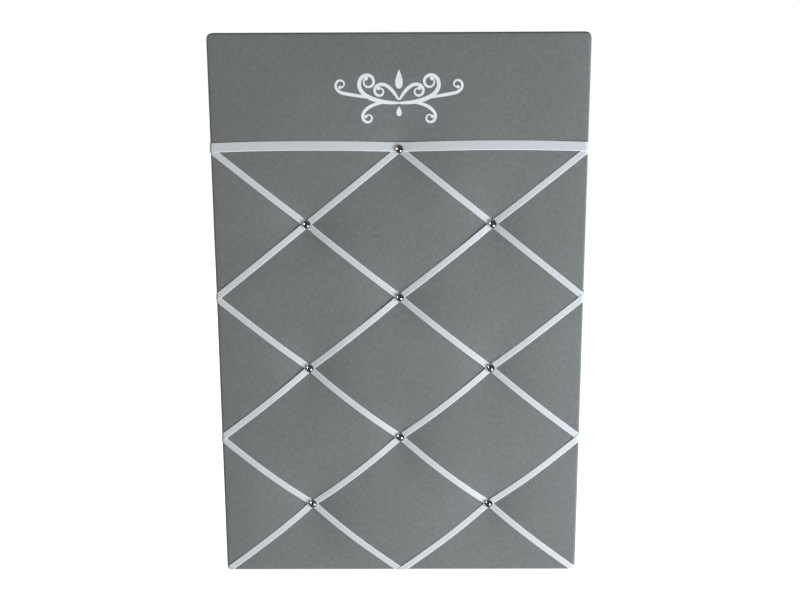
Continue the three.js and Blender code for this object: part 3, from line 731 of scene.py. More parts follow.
@dataclass
class PaddedCover:
    """Cloth stretched over the wadding, round the sides and onto a hem behind."""

    outline: Outline
    lattice: Lattice
    rim_level: float = 0.0208
    hem_level: float = 0.0035
    hem_width: float = 0.025
    edge_radius: float = 0.0012
    thickness: float = 0.0005
    shoulder: float = 0.0026
    shoulder_rise: float = 0.0035
    crown_rise: float = 0.004
    tuft_radius: float = 0.060
    head_radius: float = 0.0045
    cell: float = 0.004
    rim_steps: int = 8
    pressure: float = 1.5
    frames: int = 20
    most_move: float = 0.004
    channel_depth: float = 0.0004
    channel_width: float = 0.0085
    channel_past: float = 0.004
    channel_fade: float = 0.005
    nail_margin: float = 0.001
    surface: BVHTree | None = None
    front: np.ndarray | None = None

    def lines(self, half: float) -> np.ndarray:
        """Grid lines across one half-size, close together over the shoulders."""
        steps = np.arange(self.rim_steps) * (math.pi / 2 / self.rim_steps)
        rim = self.shoulder * (1 - np.cos(steps))
        inner = half - self.shoulder
        count = round(2 * inner / self.cell)
        middle = np.linspace(-inner, inner, count + 1)
        return np.concatenate([rim - half, middle, (half - rim)[::-1]])

    def level(self, x: np.ndarray, z: np.ndarray) -> np.ndarray:
        """Level of the padded front before the cloth is relaxed.

        Args:
            x: Places across the board.
            z: Places up the board.

        Returns:
            The level at each place.
        """
        half_x, half_z = self.outline.half

        def eased(distance: np.ndarray) -> np.ndarray:
            return np.sqrt(1 - (1 - np.clip(distance / self.shoulder, 0, 1)) ** 2)

        rise = self.shoulder_rise * eased(half_x - np.abs(x)) * eased(half_z - np.abs(z))
        crown = self.crown_rise * (1 - (x / half_x) ** 2) * (1 - (z / half_z) ** 2)
        base = self.rim_level + rise + crown
        sunk = np.zeros_like(base)
        for node, (nail_x, nail_z) in self.lattice.nodes.items():
            away = np.hypot(x - nail_x, z - nail_z) - self.head_radius
            share = np.clip(1 - np.maximum(away, 0) / self.tuft_radius, 0, 1)
            crown_here = (1 - (nail_x / half_x) ** 2) * (1 - (nail_z / half_z) ** 2)
            depth = self.rim_level + self.shoulder_rise + self.crown_rise * crown_here
            sunk = np.maximum(sunk, (depth - self.lattice.seats[node]) * share**2)
        return base - sunk

    def grid(self) -> tuple[np.ndarray, list[tuple[int, ...]], tuple[int, int]]:
        """Lay out the front as a grid.

        Returns:
            The points, the faces, and how many points there are each way.
        """
        x, z = np.meshgrid(*(self.lines(half) for half in self.outline.half), indexing="ij")
        level = self.level(x, z)
        x, z = self.outline.round_off(x, z)
        points = np.stack([x, -level, z], axis=-1).reshape(-1, 3)
        return points, grid_faces(*x.shape), x.shape

    def relax(self, points: np.ndarray, faces: list[tuple[int, ...]]) -> np.ndarray:
        """Let the cloth find its tension between the rim and the nails.

        Args:
            points: Points of the front as laid out.
            faces: Faces of the front.

        Returns:
            The points after the simulation, none moved further than allowed.
        """
        sheet = mesh_piece("cover_relaxing", points, faces)
        held = sheet.vertex_groups.new(name="held")
        half_x, half_z = self.outline.half
        edge = np.minimum(half_x - np.abs(points[:, 0]), half_z - np.abs(points[:, 2]))
        fixed = edge < self.shoulder
        for nail_x, nail_z in self.lattice.nodes.values():
            away = np.hypot(points[:, 0] - nail_x, points[:, 2] - nail_z)
            fixed |= away < self.head_radius + self.nail_margin
        held.add([int(index) for index in np.nonzero(fixed)[0]], 1.0, "REPLACE")
        cloth = sheet.modifiers.new("Tension", "CLOTH")
        cloth.settings.quality = 6
        cloth.settings.mass = 0.25
        cloth.settings.tension_stiffness = 25.0
        cloth.settings.compression_stiffness = 25.0
        cloth.settings.shear_stiffness = 10.0
        cloth.settings.bending_stiffness = 1.5
        cloth.settings.vertex_group_mass = held.name
        cloth.settings.use_pressure = True
        cloth.settings.uniform_pressure_force = self.pressure
        cloth.settings.effector_weights.gravity = 0.0
        cloth.point_cache.frame_start = 1
        cloth.point_cache.frame_end = self.frames
        scene = bpy.context.scene
        for number in range(1, self.frames + 1):
            scene.frame_set(number)
        evaluated = sheet.evaluated_get(bpy.context.evaluated_depsgraph_get())
        moved = np.empty(len(points) * 3, dtype=np.float32)
        evaluated.data.vertices.foreach_get("co", moved)
        shift = moved.reshape(-1, 3).astype(float) - points
        size = np.linalg.norm(shift, axis=1, keepdims=True)
        shift *= np.minimum(1.0, self.most_move / np.maximum(size, 1e-9))
        LOG.info("cover relaxed: mean %.2f mm, most %.2f mm", 1e3 * size.mean(), 1e3 * size.max())
        remove_piece(sheet)
        scene.frame_set(1)
        return points + shift

    def press(self, points: np.ndarray) -> np.ndarray:
        """Press the ribbons' channels into the front.

        Args:
            points: Points of the relaxed front.

        Returns:
            The pressed points.
        """
        pressed = points.copy()
        x, z = points[:, 0], points[:, 2]
        channel = np.zeros(len(points))
        half_x, half_z = self.outline.half
        for _, start, end, _ in self.lattice.runs():
            run = np.subtract(end, start)
            length = np.hypot(*run)
            run = run / length
            along = (x - start[0]) * run[0] + (z - start[1]) * run[1]
            beside = (x - start[0]) * run[1] - (z - start[1]) * run[0]
            inside = (along > -self.channel_past) & (along < length + self.channel_past)
            channel = np.maximum(channel, inside * np.exp(-((beside / self.channel_width) ** 2)))
        edge = np.minimum(half_x - np.abs(x), half_z - np.abs(z))
        soft = np.clip(edge / self.channel_fade, 0, 1)
        pressed[:, 1] += self.channel_depth * channel * soft
        return pressed

    def build(self, material: bpy.types.Material) -> bpy.types.Object:
        """Make the cover from its front, sides and hem.

        Args:
            material: The cloth finish.

        Returns:
            The cover as one closed sheet.
        """
        points, faces, (across, up) = self.grid()
        points = self.relax(points, faces)
        points = self.press(points)
        self.front = points.reshape(across, up, 3)
        self.surface = BVHTree.FromPolygons(points.tolist(), faces)
        loop = grid_border(across, up)
        rim = points[loop]
        normals = np.array([self.outline.normal(x, z) for x, _, z in rim])
        shape = [points]
        cloth = [self.unrolled(self.front)]
        previous = loop
        run = 0.0
        last = (0.0, self.rim_level)
        for inward, level in self.wrap():
            run += math.hypot(inward - last[0], level - last[1])
            last = (inward, level)
            shrink = 1 - inward / np.array(self.outline.half)
            ring = np.stack([
                rim[:, 0] * shrink[0],
                np.full(len(rim), -level),
                rim[:, 2] * shrink[1],
            ], axis=-1)
            first = sum(len(part) for part in shape)
            current = list(range(first, first + len(rim)))
            shape.append(ring)
            cloth.append(cloth[0][loop] + normals * run)
            for k in range(len(rim)):
                other = (k + 1) % len(rim)
                faces.append((previous[k], current[k], current[other], previous[other]))
            previous = current
        piece = mesh_piece(
            "stretched_cover", np.concatenate(shape), faces, material, np.concatenate(cloth)
        )
        return thicken(piece, self.thickness)

    def wrap(self) -> list[Plan]:
        """Profile of the cloth from the rim to the hem's edge, as inward run and level."""
        corner = self.hem_level + self.edge_radius
        wall = [(0.0, level) for level in np.linspace(self.rim_level, corner, 7)[1:]]
        fold = []
        for angle in np.linspace(0, math.pi / 2, 6)[1:]:
            inward = self.edge_radius * (1 - math.cos(angle))
            fold.append((inward, corner - self.edge_radius * math.sin(angle)))
        hem = [(inward, self.hem_level) for inward in np.linspace(0.004, self.hem_width, 6)]
        return wall + fold + hem

    @staticmethod
    def unrolled(front: np.ndarray) -> np.ndarray:
        """Places on the flat cloth of the front's points.

        Args:
            front: Points of the front as a grid.

        Returns:
            One pair for each point, measured along the cloth from the middle.
        """
        sides = []
        for axis in (0, 1):
            steps = np.linalg.norm(np.diff(front, axis=axis), axis=2)
            run = np.cumsum(steps, axis=axis)
            zero = np.zeros_like(np.take(run, [0], axis=axis))
            run = np.concatenate([zero, run], axis=axis)
            middle = np.take(run, [front.shape[axis] // 2], axis=axis)
            sides.append(run - middle)
        return np.stack(sides, axis=-1).reshape(-1, 2)

    def sample(self, x: float, z: float) -> tuple[Vector, Vector]:
        """Place and outward direction on the front straight behind a point.

        Args:
            x: Place across the board.
            z: Place up the board.

        Returns:
            The point on the cover and its normal.
        """
        place, normal, _, _ = self.surface.ray_cast(Vector((x, -0.2, z)), Vector((0, 1, 0)))
        if place is None:
            place, normal, _, _ = self.surface.find_nearest(Vector((x, -self.rim_level, z)))
        if normal.y > 0:
            normal = -normal
        return place, normal


@dataclass
class WaddingPad:
    """Layer of wadding between the core board and the cover."""

    cover: PaddedCover
    rear_level: float = 0.0148
    clearance: float = 0.0011
    inset: float = 0.0012
    stride: int = 3

    def build(self, material: bpy.types.Material) -> bpy.types.Object:
        """Make the pad under the cover's front.

        Args:
            material: The wadding finish.

        Returns:
            The pad as a closed form.
        """
        front = self.cover.front
        keep = [self.kept(front.shape[axis]) for axis in (0, 1)]
        face = front[np.ix_(keep[0], keep[1])].copy()
        half = self.cover.outline.half
        for axis, size in ((0, half[0]), (2, half[1])):
            face[..., axis] *= 1 - self.inset / size
        face[..., 1] = np.minimum(face[..., 1] + self.clearance, -self.rear_level - 0.001)
        across, up, _ = face.shape
        back = face.copy()
        back[..., 1] = -self.rear_level
        points = np.concatenate([face.reshape(-1, 3), back.reshape(-1, 3)])
        offset = across * up
        faces = []
        for corners in grid_faces(across, up):
            faces.append(corners)
            faces.append(tuple(offset + corner for corner in reversed(corners)))
        loop = grid_border(across, up)
        for k, corner in enumerate(loop):
            other = loop[(k + 1) % len(loop)]
            faces.append((corner, corner + offset, other + offset, other))
        return mesh_piece("wadding_pad", points, faces, material)

    def kept(self, count: int) -> list[int]:
        """Grid lines that the pad keeps, the first and last among them."""
        lines = list(range(0, count, self.stride))
        return lines if lines[-1] == count - 1 else lines + [count - 1]


@dataclass
class SatinRibbon:
    """One ribbon, taut over the padding and folded round the edges onto the back."""

    cover: PaddedCover
    node: str
    start: Plan
    end: Plan
    layer: int
    width: float = 0.007
    bow: float = 0.0
    droop: float = 0.0012
    thickness: float = 0.0003
    clearance: float = 0.00006
    step: float = 0.004
    flat: float = 0.005
    tuck: float = 0.004
    core_level: float = 0.0045
    tail: float = 0.040
    droop_from: float = 0.02
    droop_span: float = 0.15
    nail_aside: float = 0.004
    nail_past: float = 0.002
    edge_search: float = 0.03
    halvings: int = 40
    crossing_reach: Plan = (0.006, 0.020)
    edge_blend: Plan = (0.001, 0.006)
    corner_reach: float = 0.01
    lanes: tuple[float, ...] = (-1.0, -0.82, -0.45, 0.0, 0.45, 0.82, 1.0)
    ends: tuple[float, ...] = (0.0, 0.0004, 0.0012, 0.0025, 0.0045, 0.007, 0.010, 0.0135, 0.0175)
    length: float = 0.0

    def __post_init__(self) -> None:
        """Work out the run's direction and the nails on it."""
        run = np.subtract(self.end, self.start)
        self.reach = float(np.hypot(*run))
        self.along = run / self.reach
        self.beside = np.array([-self.along[1], self.along[0]])
        self.nails = []
        for node, place in self.cover.lattice.nodes.items():
            away = np.subtract(place, self.start)
            stop = float(away @ self.along)
            on_run = -self.nail_past < stop < self.reach + self.nail_past
            if abs(away @ self.beside) < self.nail_aside and on_run:
                self.nails.append((stop, node))
        self.nails.sort()
        self.tucked = bool(self.nails) and self.nails[0][0] < self.nail_past

    def offset(self, layers: float) -> float:
        """Height of the ribbon's face above the cover, over some ribbons below it."""
        return (1.0 + layers) * (self.thickness + self.clearance)

    def lane_ends(self, lane: float) -> tuple[float, float]:
        """Where a lane starts and ends, measured along the ribbon.

        Args:
            lane: Place across the ribbon, from -1 to 1.

        Returns:
            The run at which the lane starts and the run at which it ends.
        """
        found = []
        for run, way in ((0.0, -1.0), (self.reach, 1.0)):
            if way < 0 and self.tucked:
                found.append(-self.tuck)
                continue
            near, far = run - way * self.edge_search, run + way * self.edge_search
            for _ in range(self.halvings):
                middle = (near + far) / 2
                if self.cover.outline.outside(*self.plan(middle, lane)) < 0:
                    near = middle
                else:
                    far = middle
            found.append(near)
        return found[0], found[1]

    def plan(self, run: float, lane: float) -> np.ndarray:
        """Place in the board's plane of a point on the ribbon."""
        place = np.array(self.start) + self.along * run + self.beside * (lane * self.width / 2)
        stops = [0.0] + [stop for stop, _ in self.nails] + [self.reach]
        for low, high in zip(stops, stops[1:]):
            if low < run < high:
                share = (run - low) / (high - low)
                place = place + self.beside * (self.slack(low, high) * 4 * share * (1 - share))
        return place

    def slack(self, low: float, high: float) -> float:
        """How far a span bows from its straight line, lower toward the board's foot."""
        middle = self.start[1] + self.along[1] * (low + high) / 2
        share = min(max((self.droop_from - middle) / self.droop_span, 0.0), 1.0)
        return self.bow - math.copysign(self.droop * share, self.beside[1])

    def crossing(self, run: float) -> float:
        """Share by which the ribbon is lifted over those below it."""
        stops = [stop for stop, _ in self.nails] + [self.reach]
        if not self.tucked:
            stops.append(0.0)
        return max(1 - smooth_step(*self.crossing_reach, abs(run - stop)) for stop in stops)

    def layers_at(self, run: float) -> float:
        """Ribbons that lie below this one at a place."""
        return self.layer * self.crossing(run)

    def stations(self, low: float, high: float) -> list[float]:
        """Shares of the run at which the ribbon has a row of points.

        Args:
            low: Run at which the ribbon's middle lane starts.
            high: Run at which it ends.

        Returns:
            The shares, closer together at the ends, with three under each nail's head.
        """
        first = [low] if self.tucked else [low + run for run in self.ends]
        last = [high - run for run in reversed(self.ends)]
        count = round((last[0] - first[-1]) / self.step)
        runs = first + list(np.linspace(first[-1], last[0], count + 1))[1:-1] + last
        for stop, _ in self.nails:
            if low < stop < high - self.flat:
                runs = [run for run in runs if abs(run - stop) > 1.4 * self.flat or run == low]
                runs += [max(low, stop - self.flat), stop, stop + self.flat]
        return [(run - low) / (high - low) for run in sorted(set(runs))]

    def front_rows(self) -> list[list[Vector]]:
        """Rows of points over the front.

        Returns:
            For each station, one point for each lane.
        """
        limits = [self.lane_ends(lane) for lane in self.lanes]
        middle = len(self.lanes) // 2
        rows = []
        for share in self.stations(*limits[middle]):
            runs = [low + share * (high - low) for low, high in limits]
            places = [self.plan(run, lane) for run, lane in zip(runs, self.lanes)]
            found = [self.cover.sample(*place) for place in places]
            lift = self.offset(self.layers_at(runs[middle]))
            top = max(-place.y for place, _ in found) + lift
            rows.append((runs[middle], places, found, lift, top))
        levels = self.taut([row[0] for row in rows], [row[4] for row in rows])
        shaped = []
        for (_, places, found, lift, _), level in zip(rows, levels):
            inside = -self.cover.outline.outside(*places[middle])
            share = smooth_step(*self.edge_blend, inside)
            row = []
            for place, (point, normal) in zip(places, found):
                fitted = point + normal * lift
                flat = Vector((place[0], -level, place[1]))
                row.append(fitted.lerp(flat, share))
            shaped.append(row)
        return shaped

    def taut(self, runs: list[float], tops: list[float]) -> list[float]:
        """Draw the ribbon taut between its nails and over the padding.

        Args:
            runs: Run of each station.
            tops: Lowest level that the ribbon may take there.

        Returns:
            The level at each station.
        """
        levels = list(tops)
        anchors = {0, len(runs) - 1}
        for stop, node in self.nails:
            seat = self.cover.lattice.seats[node]
            for near, run in enumerate(runs):
                if abs(run - stop) < 1.1 * self.flat:
                    levels[near] = seat + self.offset(self.layers_at(stop))
                    anchors.add(near)
        ordered = sorted(anchors)
        for first, last in zip(ordered, ordered[1:]):
            hull = [first]
            for index in range(first + 1, last + 1):
                while len(hull) > 1 and self.sags(runs, levels, hull[-2], hull[-1], index):
                    hull.pop()
                hull.append(index)
            for low, high in zip(hull, hull[1:]):
                for index in range(low + 1, high):
                    share = (runs[index] - runs[low]) / (runs[high] - runs[low])
                    levels[index] = levels[low] + share * (levels[high] - levels[low])
        return levels

    @staticmethod
    def sags(runs: list[float], levels: list[float], low: int, middle: int, high: int) -> bool:
        """Whether the middle station lies below the line between two others."""
        share = (runs[middle] - runs[low]) / (runs[high] - runs[low])
        return levels[middle] <= levels[low] + share * (levels[high] - levels[low])

    def tail_rows(self, row: list[Vector], way: float) -> list[list[Vector]]:
        """Rows of points round the edge and over the back.

        Args:
            row: The last row on the front, on the outline.
            way: Minus one at the ribbon's start and one at its end.

        Returns:
            The rows from the side wall to the ribbon's cut end.
        """
        outline = self.cover.outline
        heading = self.along * way
        middle = row[len(row) // 2]
        short = [half - abs(middle[axis]) for axis, half in zip((0, 2), outline.half)]
        corner = all(abs(away) < self.corner_reach for away in short)
        normal = heading if corner else np.array(outline.normal(middle.x, middle.z))
        sideways = np.array([-normal[1], normal[0]])
        drift = float(heading @ sideways) / float(heading @ normal)
        run_in = 1.0 / min(abs(heading)) if corner else 1.0
        lift = self.offset(self.layer)
        rows = []
        run = 0.0
        last = (0.0, self.cover.rim_level)
        for out, level in self.tail_profile(lift, run_in):
            run += math.hypot(out - last[0], level - last[1])
            last = (out, level)
            shifted = []
            for point in row:
                foot = np.array([point.x, point.z])
                way_out = np.array(outline.normal(*foot)) if corner and out > 0 else normal
                base = foot - np.array(outline.normal(*foot)) * lift
                place = base + way_out * out + sideways * (drift * run)
                shifted.append(Vector((place[0], -level, place[1])))
            rows.append(shifted)
        return rows

    def tail_profile(self, lift: float, run_in: float) -> list[Plan]:
        """Profile of a folded end, as distance outside the outline and level.

        Args:
            lift: Height of the ribbon's face above the cover.
            run_in: How much longer its way over the hem is.

        Returns:
            The profile from the side wall to the cut end.
        """
        cover = self.cover
        radius = cover.edge_radius
        corner = cover.hem_level + radius
        profile = [(lift, level) for level in np.linspace(cover.rim_level, corner, 5)[1:]]
        for angle in np.linspace(0, math.pi / 2, 6)[1:]:
            out = (radius + lift) * math.cos(angle) - radius
            profile.append((out, corner - (radius + lift) * math.sin(angle)))
        hem = cover.hem_width * run_in
        behind = cover.hem_level - lift
        profile += [(-hem * share, behind) for share in (0.2, 0.45, 0.7, 0.9, 1.01)]
        base = self.core_level - self.thickness - self.clearance
        rest = self.tail - cover.hem_width
        profile += [(-hem - rest * share, base) for share in (0.22, 0.6, 1.0)]
        return profile

    def build(self, material: bpy.types.Material) -> bpy.types.Object:
        """Make the ribbon from its rows.

        Args:
            material: The ribbon finish.

        Returns:
            The ribbon as a closed strip.
        """
        rows = self.front_rows()
        if not self.tucked:
            rows = list(reversed(self.tail_rows(rows[0], -1.0))) + rows
        rows = rows + self.tail_rows(rows[-1], 1.0)
        lanes = len(self.lanes)
        middle = [row[lanes // 2] for row in rows]
        runs = [0.0]
        for near, far in zip(middle, middle[1:]):
            runs.append(runs[-1] + (far - near).length)
        self.length = runs[-1]
        points = [tuple(point) for row in rows for point in row]
        cloth = [(run, lane * self.width / 2) for run in runs for lane in self.lanes]
        faces = grid_faces(len(rows), lanes)
        piece = mesh_piece(f"{self.node}_satin", points, faces, material, np.array(cloth))
        return thicken(piece, self.thickness)


@dataclass
class RibbonLattice:
    """The top ribbon and the eight lattice ribbons."""

    cover: PaddedCover
    width: float = 0.0068
    top_width: float = 0.010
    top_bow: float = 0.002
    top_slack: float = 0.002
    ribbons: list[SatinRibbon] = field(default_factory=list)

    def build(self) -> list[bpy.types.Object]:
        """Make every ribbon.

        Returns:
            The ribbons in the order they are laid.
        """
        narrow = SatinFinish(width=self.width).material()
        broad = SatinFinish(width=self.top_width).material()
        pieces = []
        for node, start, end, layer in self.cover.lattice.runs():
            top = node == "top_ribbon"
            if top:
                start, end = ((x, z + self.top_slack) for x, z in (start, end))
            ribbon = SatinRibbon(self.cover, node, start, end, layer)
            ribbon.width = self.top_width if top else self.width
            if top:
                ribbon.bow, ribbon.droop = self.top_bow, 0.0
            piece = ribbon.build(broad if top else narrow)
            self.ribbons.append(ribbon)
            LOG.info("%s is cut %.0f mm long", node, 1e3 * ribbon.length)
            pieces.append(dress(piece, Body.BOARD, (node,)))
        return pieces


class NodeTree:
    """A Geometry Nodes tree built from Python, with named inputs."""

    def __init__(self, name: str) -> None:
        """Start a tree that takes and gives geometry.

        Args:
            name: Name of the tree.
        """
        self.tree = bpy.data.node_groups.new(name, "GeometryNodeTree")
        self.inputs: dict[str, str] = {}
        self.entry = self.tree.nodes.new("NodeGroupInput")
        self.exit = self.tree.nodes.new("NodeGroupOutput")
        self.take("Geometry", "NodeSocketGeometry")
        self.tree.interface.new_socket(
            "Geometry", in_out="OUTPUT", socket_type="NodeSocketGeometry"
        )

    def take(self, name: str, kind: str) -> None:
        """Add a named input."""
        socket = self.tree.interface.new_socket(name, in_out="INPUT", socket_type=kind)
        self.inputs[name] = socket.identifier

    def add(
        self,
        kind: str,
        settings: dict[str, object] | None = None,
        sockets: dict[str | int, object] | None = None,
    ) -> bpy.types.Node:
        """Add a node.

        Args:
            kind: Blender's type of the node.
            settings: Properties set first.
            sockets: Values, or output sockets to link, of the input sockets.

        Returns:
            The node.
        """
        node = self.tree.nodes.new(kind)
        for key, value in (settings or {}).items():
            setattr(node, key, value)
        for key, value in (sockets or {}).items():
            if isinstance(value, bpy.types.NodeSocket):
                self.tree.links.new(value, node.inputs[key])
            else:
                node.inputs[key].default_value = value
        return node

    def given(self, name: str) -> bpy.types.NodeSocket:
        """Socket of a named input."""
        return self.entry.outputs[name]

    def close(self, geometry: bpy.types.NodeSocket) -> None:
        """Realize the geometry, give it its finish and end the tree."""
        real = self.add("GeometryNodeRealizeInstances", None, {0: geometry})
        sockets = {"Geometry": real.outputs[0], "Material": self.given("Finish")}
        dressed = self.add("GeometryNodeSetMaterial", None, sockets)
        self.tree.links.new(dressed.outputs[0], self.exit.inputs[0])

    def run(self, piece: bpy.types.Object, values: dict[str, object]) -> bpy.types.Object:
        """Run the tree on an object and keep the plain mesh.

        Args:
            piece: The object that carries the points or the path.
            values: Value of each named input.

        Returns:
            The same object with the result as its mesh.
        """
        modifier = piece.modifiers.new(self.tree.name, "NODES")
        modifier.node_group = self.tree
        for name, value in values.items():
            modifier[self.inputs[name]] = value
        return settle(piece)


def scatter_tree() -> NodeTree:
    """Make the tree that sets one fastener on each point.

    Returns:
        A tree that reads the points' turn and stretch attributes.
    """
    tree = NodeTree("fastener_scatter")
    tree.take("Fastener", "NodeSocketObject")
    tree.take("Finish", "NodeSocketMaterial")
    shape = tree.add("GeometryNodeObjectInfo", None, {"Object": tree.given("Fastener")})
    turn = tree.add("GeometryNodeInputNamedAttribute", {"data_type": "FLOAT"}, {"Name": "turn"})
    stretch = tree.add(
        "GeometryNodeInputNamedAttribute", {"data_type": "FLOAT_VECTOR"}, {"Name": "stretch"}
    )
    angles = tree.add("ShaderNodeCombineXYZ", None, {"Y": turn.outputs[0]})
    placed = tree.add("GeometryNodeInstanceOnPoints", None, {
        "Points": tree.given("Geometry"),
        "Instance": shape.outputs["Geometry"],
        "Rotation": angles.outputs[0],
        "Scale": stretch.outputs[0],
    })
    tree.close(placed.outputs[0])
    return tree


def wire_tree() -> NodeTree:
    """Make the tree that draws a round wire along a path of edges.

    Returns:
        A tree that smooths the path and sweeps the wire along it.
    """
    tree = NodeTree("wire_sweep")
    tree.take("Wire Radius", "NodeSocketFloat")
    tree.take("Wire Sides", "NodeSocketInt")
    tree.take("Path Steps", "NodeSocketInt")
    tree.take("Finish", "NodeSocketMaterial")
    path = tree.add("GeometryNodeMeshToCurve", None, {0: tree.given("Geometry")})
    smooth = tree.add(
        "GeometryNodeCurveSplineType", {"spline_type": "CATMULL_ROM"}, {0: path.outputs[0]}
    )
    even = tree.add("GeometryNodeResampleCurve", None, {
        "Curve": smooth.outputs[0], "Count": tree.given("Path Steps"),
    })
    ring = tree.add("GeometryNodeCurvePrimitiveCircle", None, {
        "Resolution": tree.given("Wire Sides"), "Radius": tree.given("Wire Radius"),
    })
    swept = tree.add("GeometryNodeCurveToMesh", None, {
        "Curve": even.outputs[0], "Profile Curve": ring.outputs[0], "Fill Caps": True,
    })
    shaded = tree.add("GeometryNodeSetShadeSmooth", None, {0: swept.outputs[0]})
    tree.close(shaded.outputs[0])
    return tree


def lathe(name: str, profile: list[Plan], sides: int) -> bpy.types.Object:
    """Turn a profile round the Y axis.

    Args:
        name: Name of the piece.
        profile: Radius and y of each place, from one pole to the other.
        sides: How many sides the turned shape has.

    Returns:
        The turned piece, closed at both poles.
    """
    points: list[Point] = [(0.0, profile[0][1], 0.0)]
    angles = round_angles(sides)
    for radius, y in profile[1:-1]:
        points += [(radius * math.cos(angle), y, radius * math.sin(angle)) for angle in angles]
    points.append((0.0, profile[-1][1], 0.0))
    last = len(points) - 1
    faces: list[tuple[int, ...]] = []
    for side in range(sides):
        other = (side + 1) % sides
        faces.append((0, 1 + side, 1 + other))
        for ring in range(len(profile) - 3):
            near, far = 1 + ring * sides, 1 + (ring + 1) * sides
            faces.append((near + side, far + side, far + other, near + other))
        final = last - sides
        faces.append((final + side, last, final + other))
    return outward(mesh_piece(name, points, faces))


def path_piece(name: str, path: list[Point], closed: bool) -> bpy.types.Object:
    """Make an object of edges along a path, for the wire tree.

    Args:
        name: Name of the piece.
        path: Places along the path.
        closed: Whether the path runs back to its first place.

    Returns:
        The object that carries the path.
    """
    piece = mesh_piece(name, path, [])
    count = len(path) if closed else len(path) - 1
    piece.data.edges.add(count)
    ends = [corner for k in range(count) for corner in (k, (k + 1) % len(path))]
    piece.data.edges.foreach_set("vertices", ends)
    return piece


def set_fasteners(
    name: str,
    template: bpy.types.Object,
    places: list[Point],
    scatter: NodeTree,
    material: bpy.types.Material,
    turns: list[float] | None = None,
    stretches: list[Point] | None = None,
) -> bpy.types.Object:
    """Set one fastener on each place, and take its template away.

    Args:
        name: Name of the piece.
        template: The fastener at the origin.
        places: Place of each fastener.
        scatter: Tree that sets the fasteners.
        material: Their finish.
        turns: Turn of each about the Y axis, where they are turned.
        stretches: Scale of each, where they differ.

    Returns:
        All the fasteners as one piece.
    """
    piece = mesh_piece(name, places, [])
    turn = piece.data.attributes.new("turn", "FLOAT", "POINT")
    turn.data.foreach_set("value", turns or [0.0] * len(places))
    stretch = piece.data.attributes.new("stretch", "FLOAT_VECTOR", "POINT")
    scales = stretches or [(1.0, 1.0, 1.0)] * len(places)
    stretch.data.foreach_set("vector", [part for scale in scales for part in scale])
    scatter.run(piece, {"Fastener": template, "Finish": material})
    remove_piece(template)
    return piece


@dataclass
class DomedNails:
    """Nine chrome nails with domed heads."""

    lattice: Lattice
    head_radius: float = 0.0049
    head_rise: float = 0.0032
    rim_roll: float = 0.0002
    shank_radius: float = 0.0009
    shank_end: float = 0.0180
    sides: int = 48
    dome_steps: int = 14

    def template(self) -> bpy.types.Object:
        """Turn one nail with the top of its head at the origin."""
        profile = []
        for angle in np.linspace(0, math.pi / 2, self.dome_steps + 1):
            y = self.head_rise * (1 - math.cos(angle))
            profile.append((self.head_radius * math.sin(angle), y))
        base = self.head_rise
        profile += [
            (self.head_radius - 0.00006, base + 0.6 * self.rim_roll),
            (self.head_radius - 0.00022, base + self.rim_roll),
            (self.head_radius - 0.00060, base + 0.3 * self.rim_roll),
            (self.shank_radius, base - 0.0006),
            (self.shank_radius, self.shank_end - 0.002),
            (0.0, self.shank_end),
        ]
        return lathe("nail_template", profile, self.sides)

    def build(self, scatter: NodeTree) -> bpy.types.Object:
        """Set the nails in their places."""
        tops = [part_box(node)[0].y for node in self.lattice.nodes]
        places = [(x, top, z) for (x, z), top in zip(self.lattice.nodes.values(), tops)]
        template = self.template()
        piece = set_fasteners("domed_nails", template, places, scatter, CHROME.material())
        return dress(piece, Body.BOARD, tuple(self.lattice.nodes))


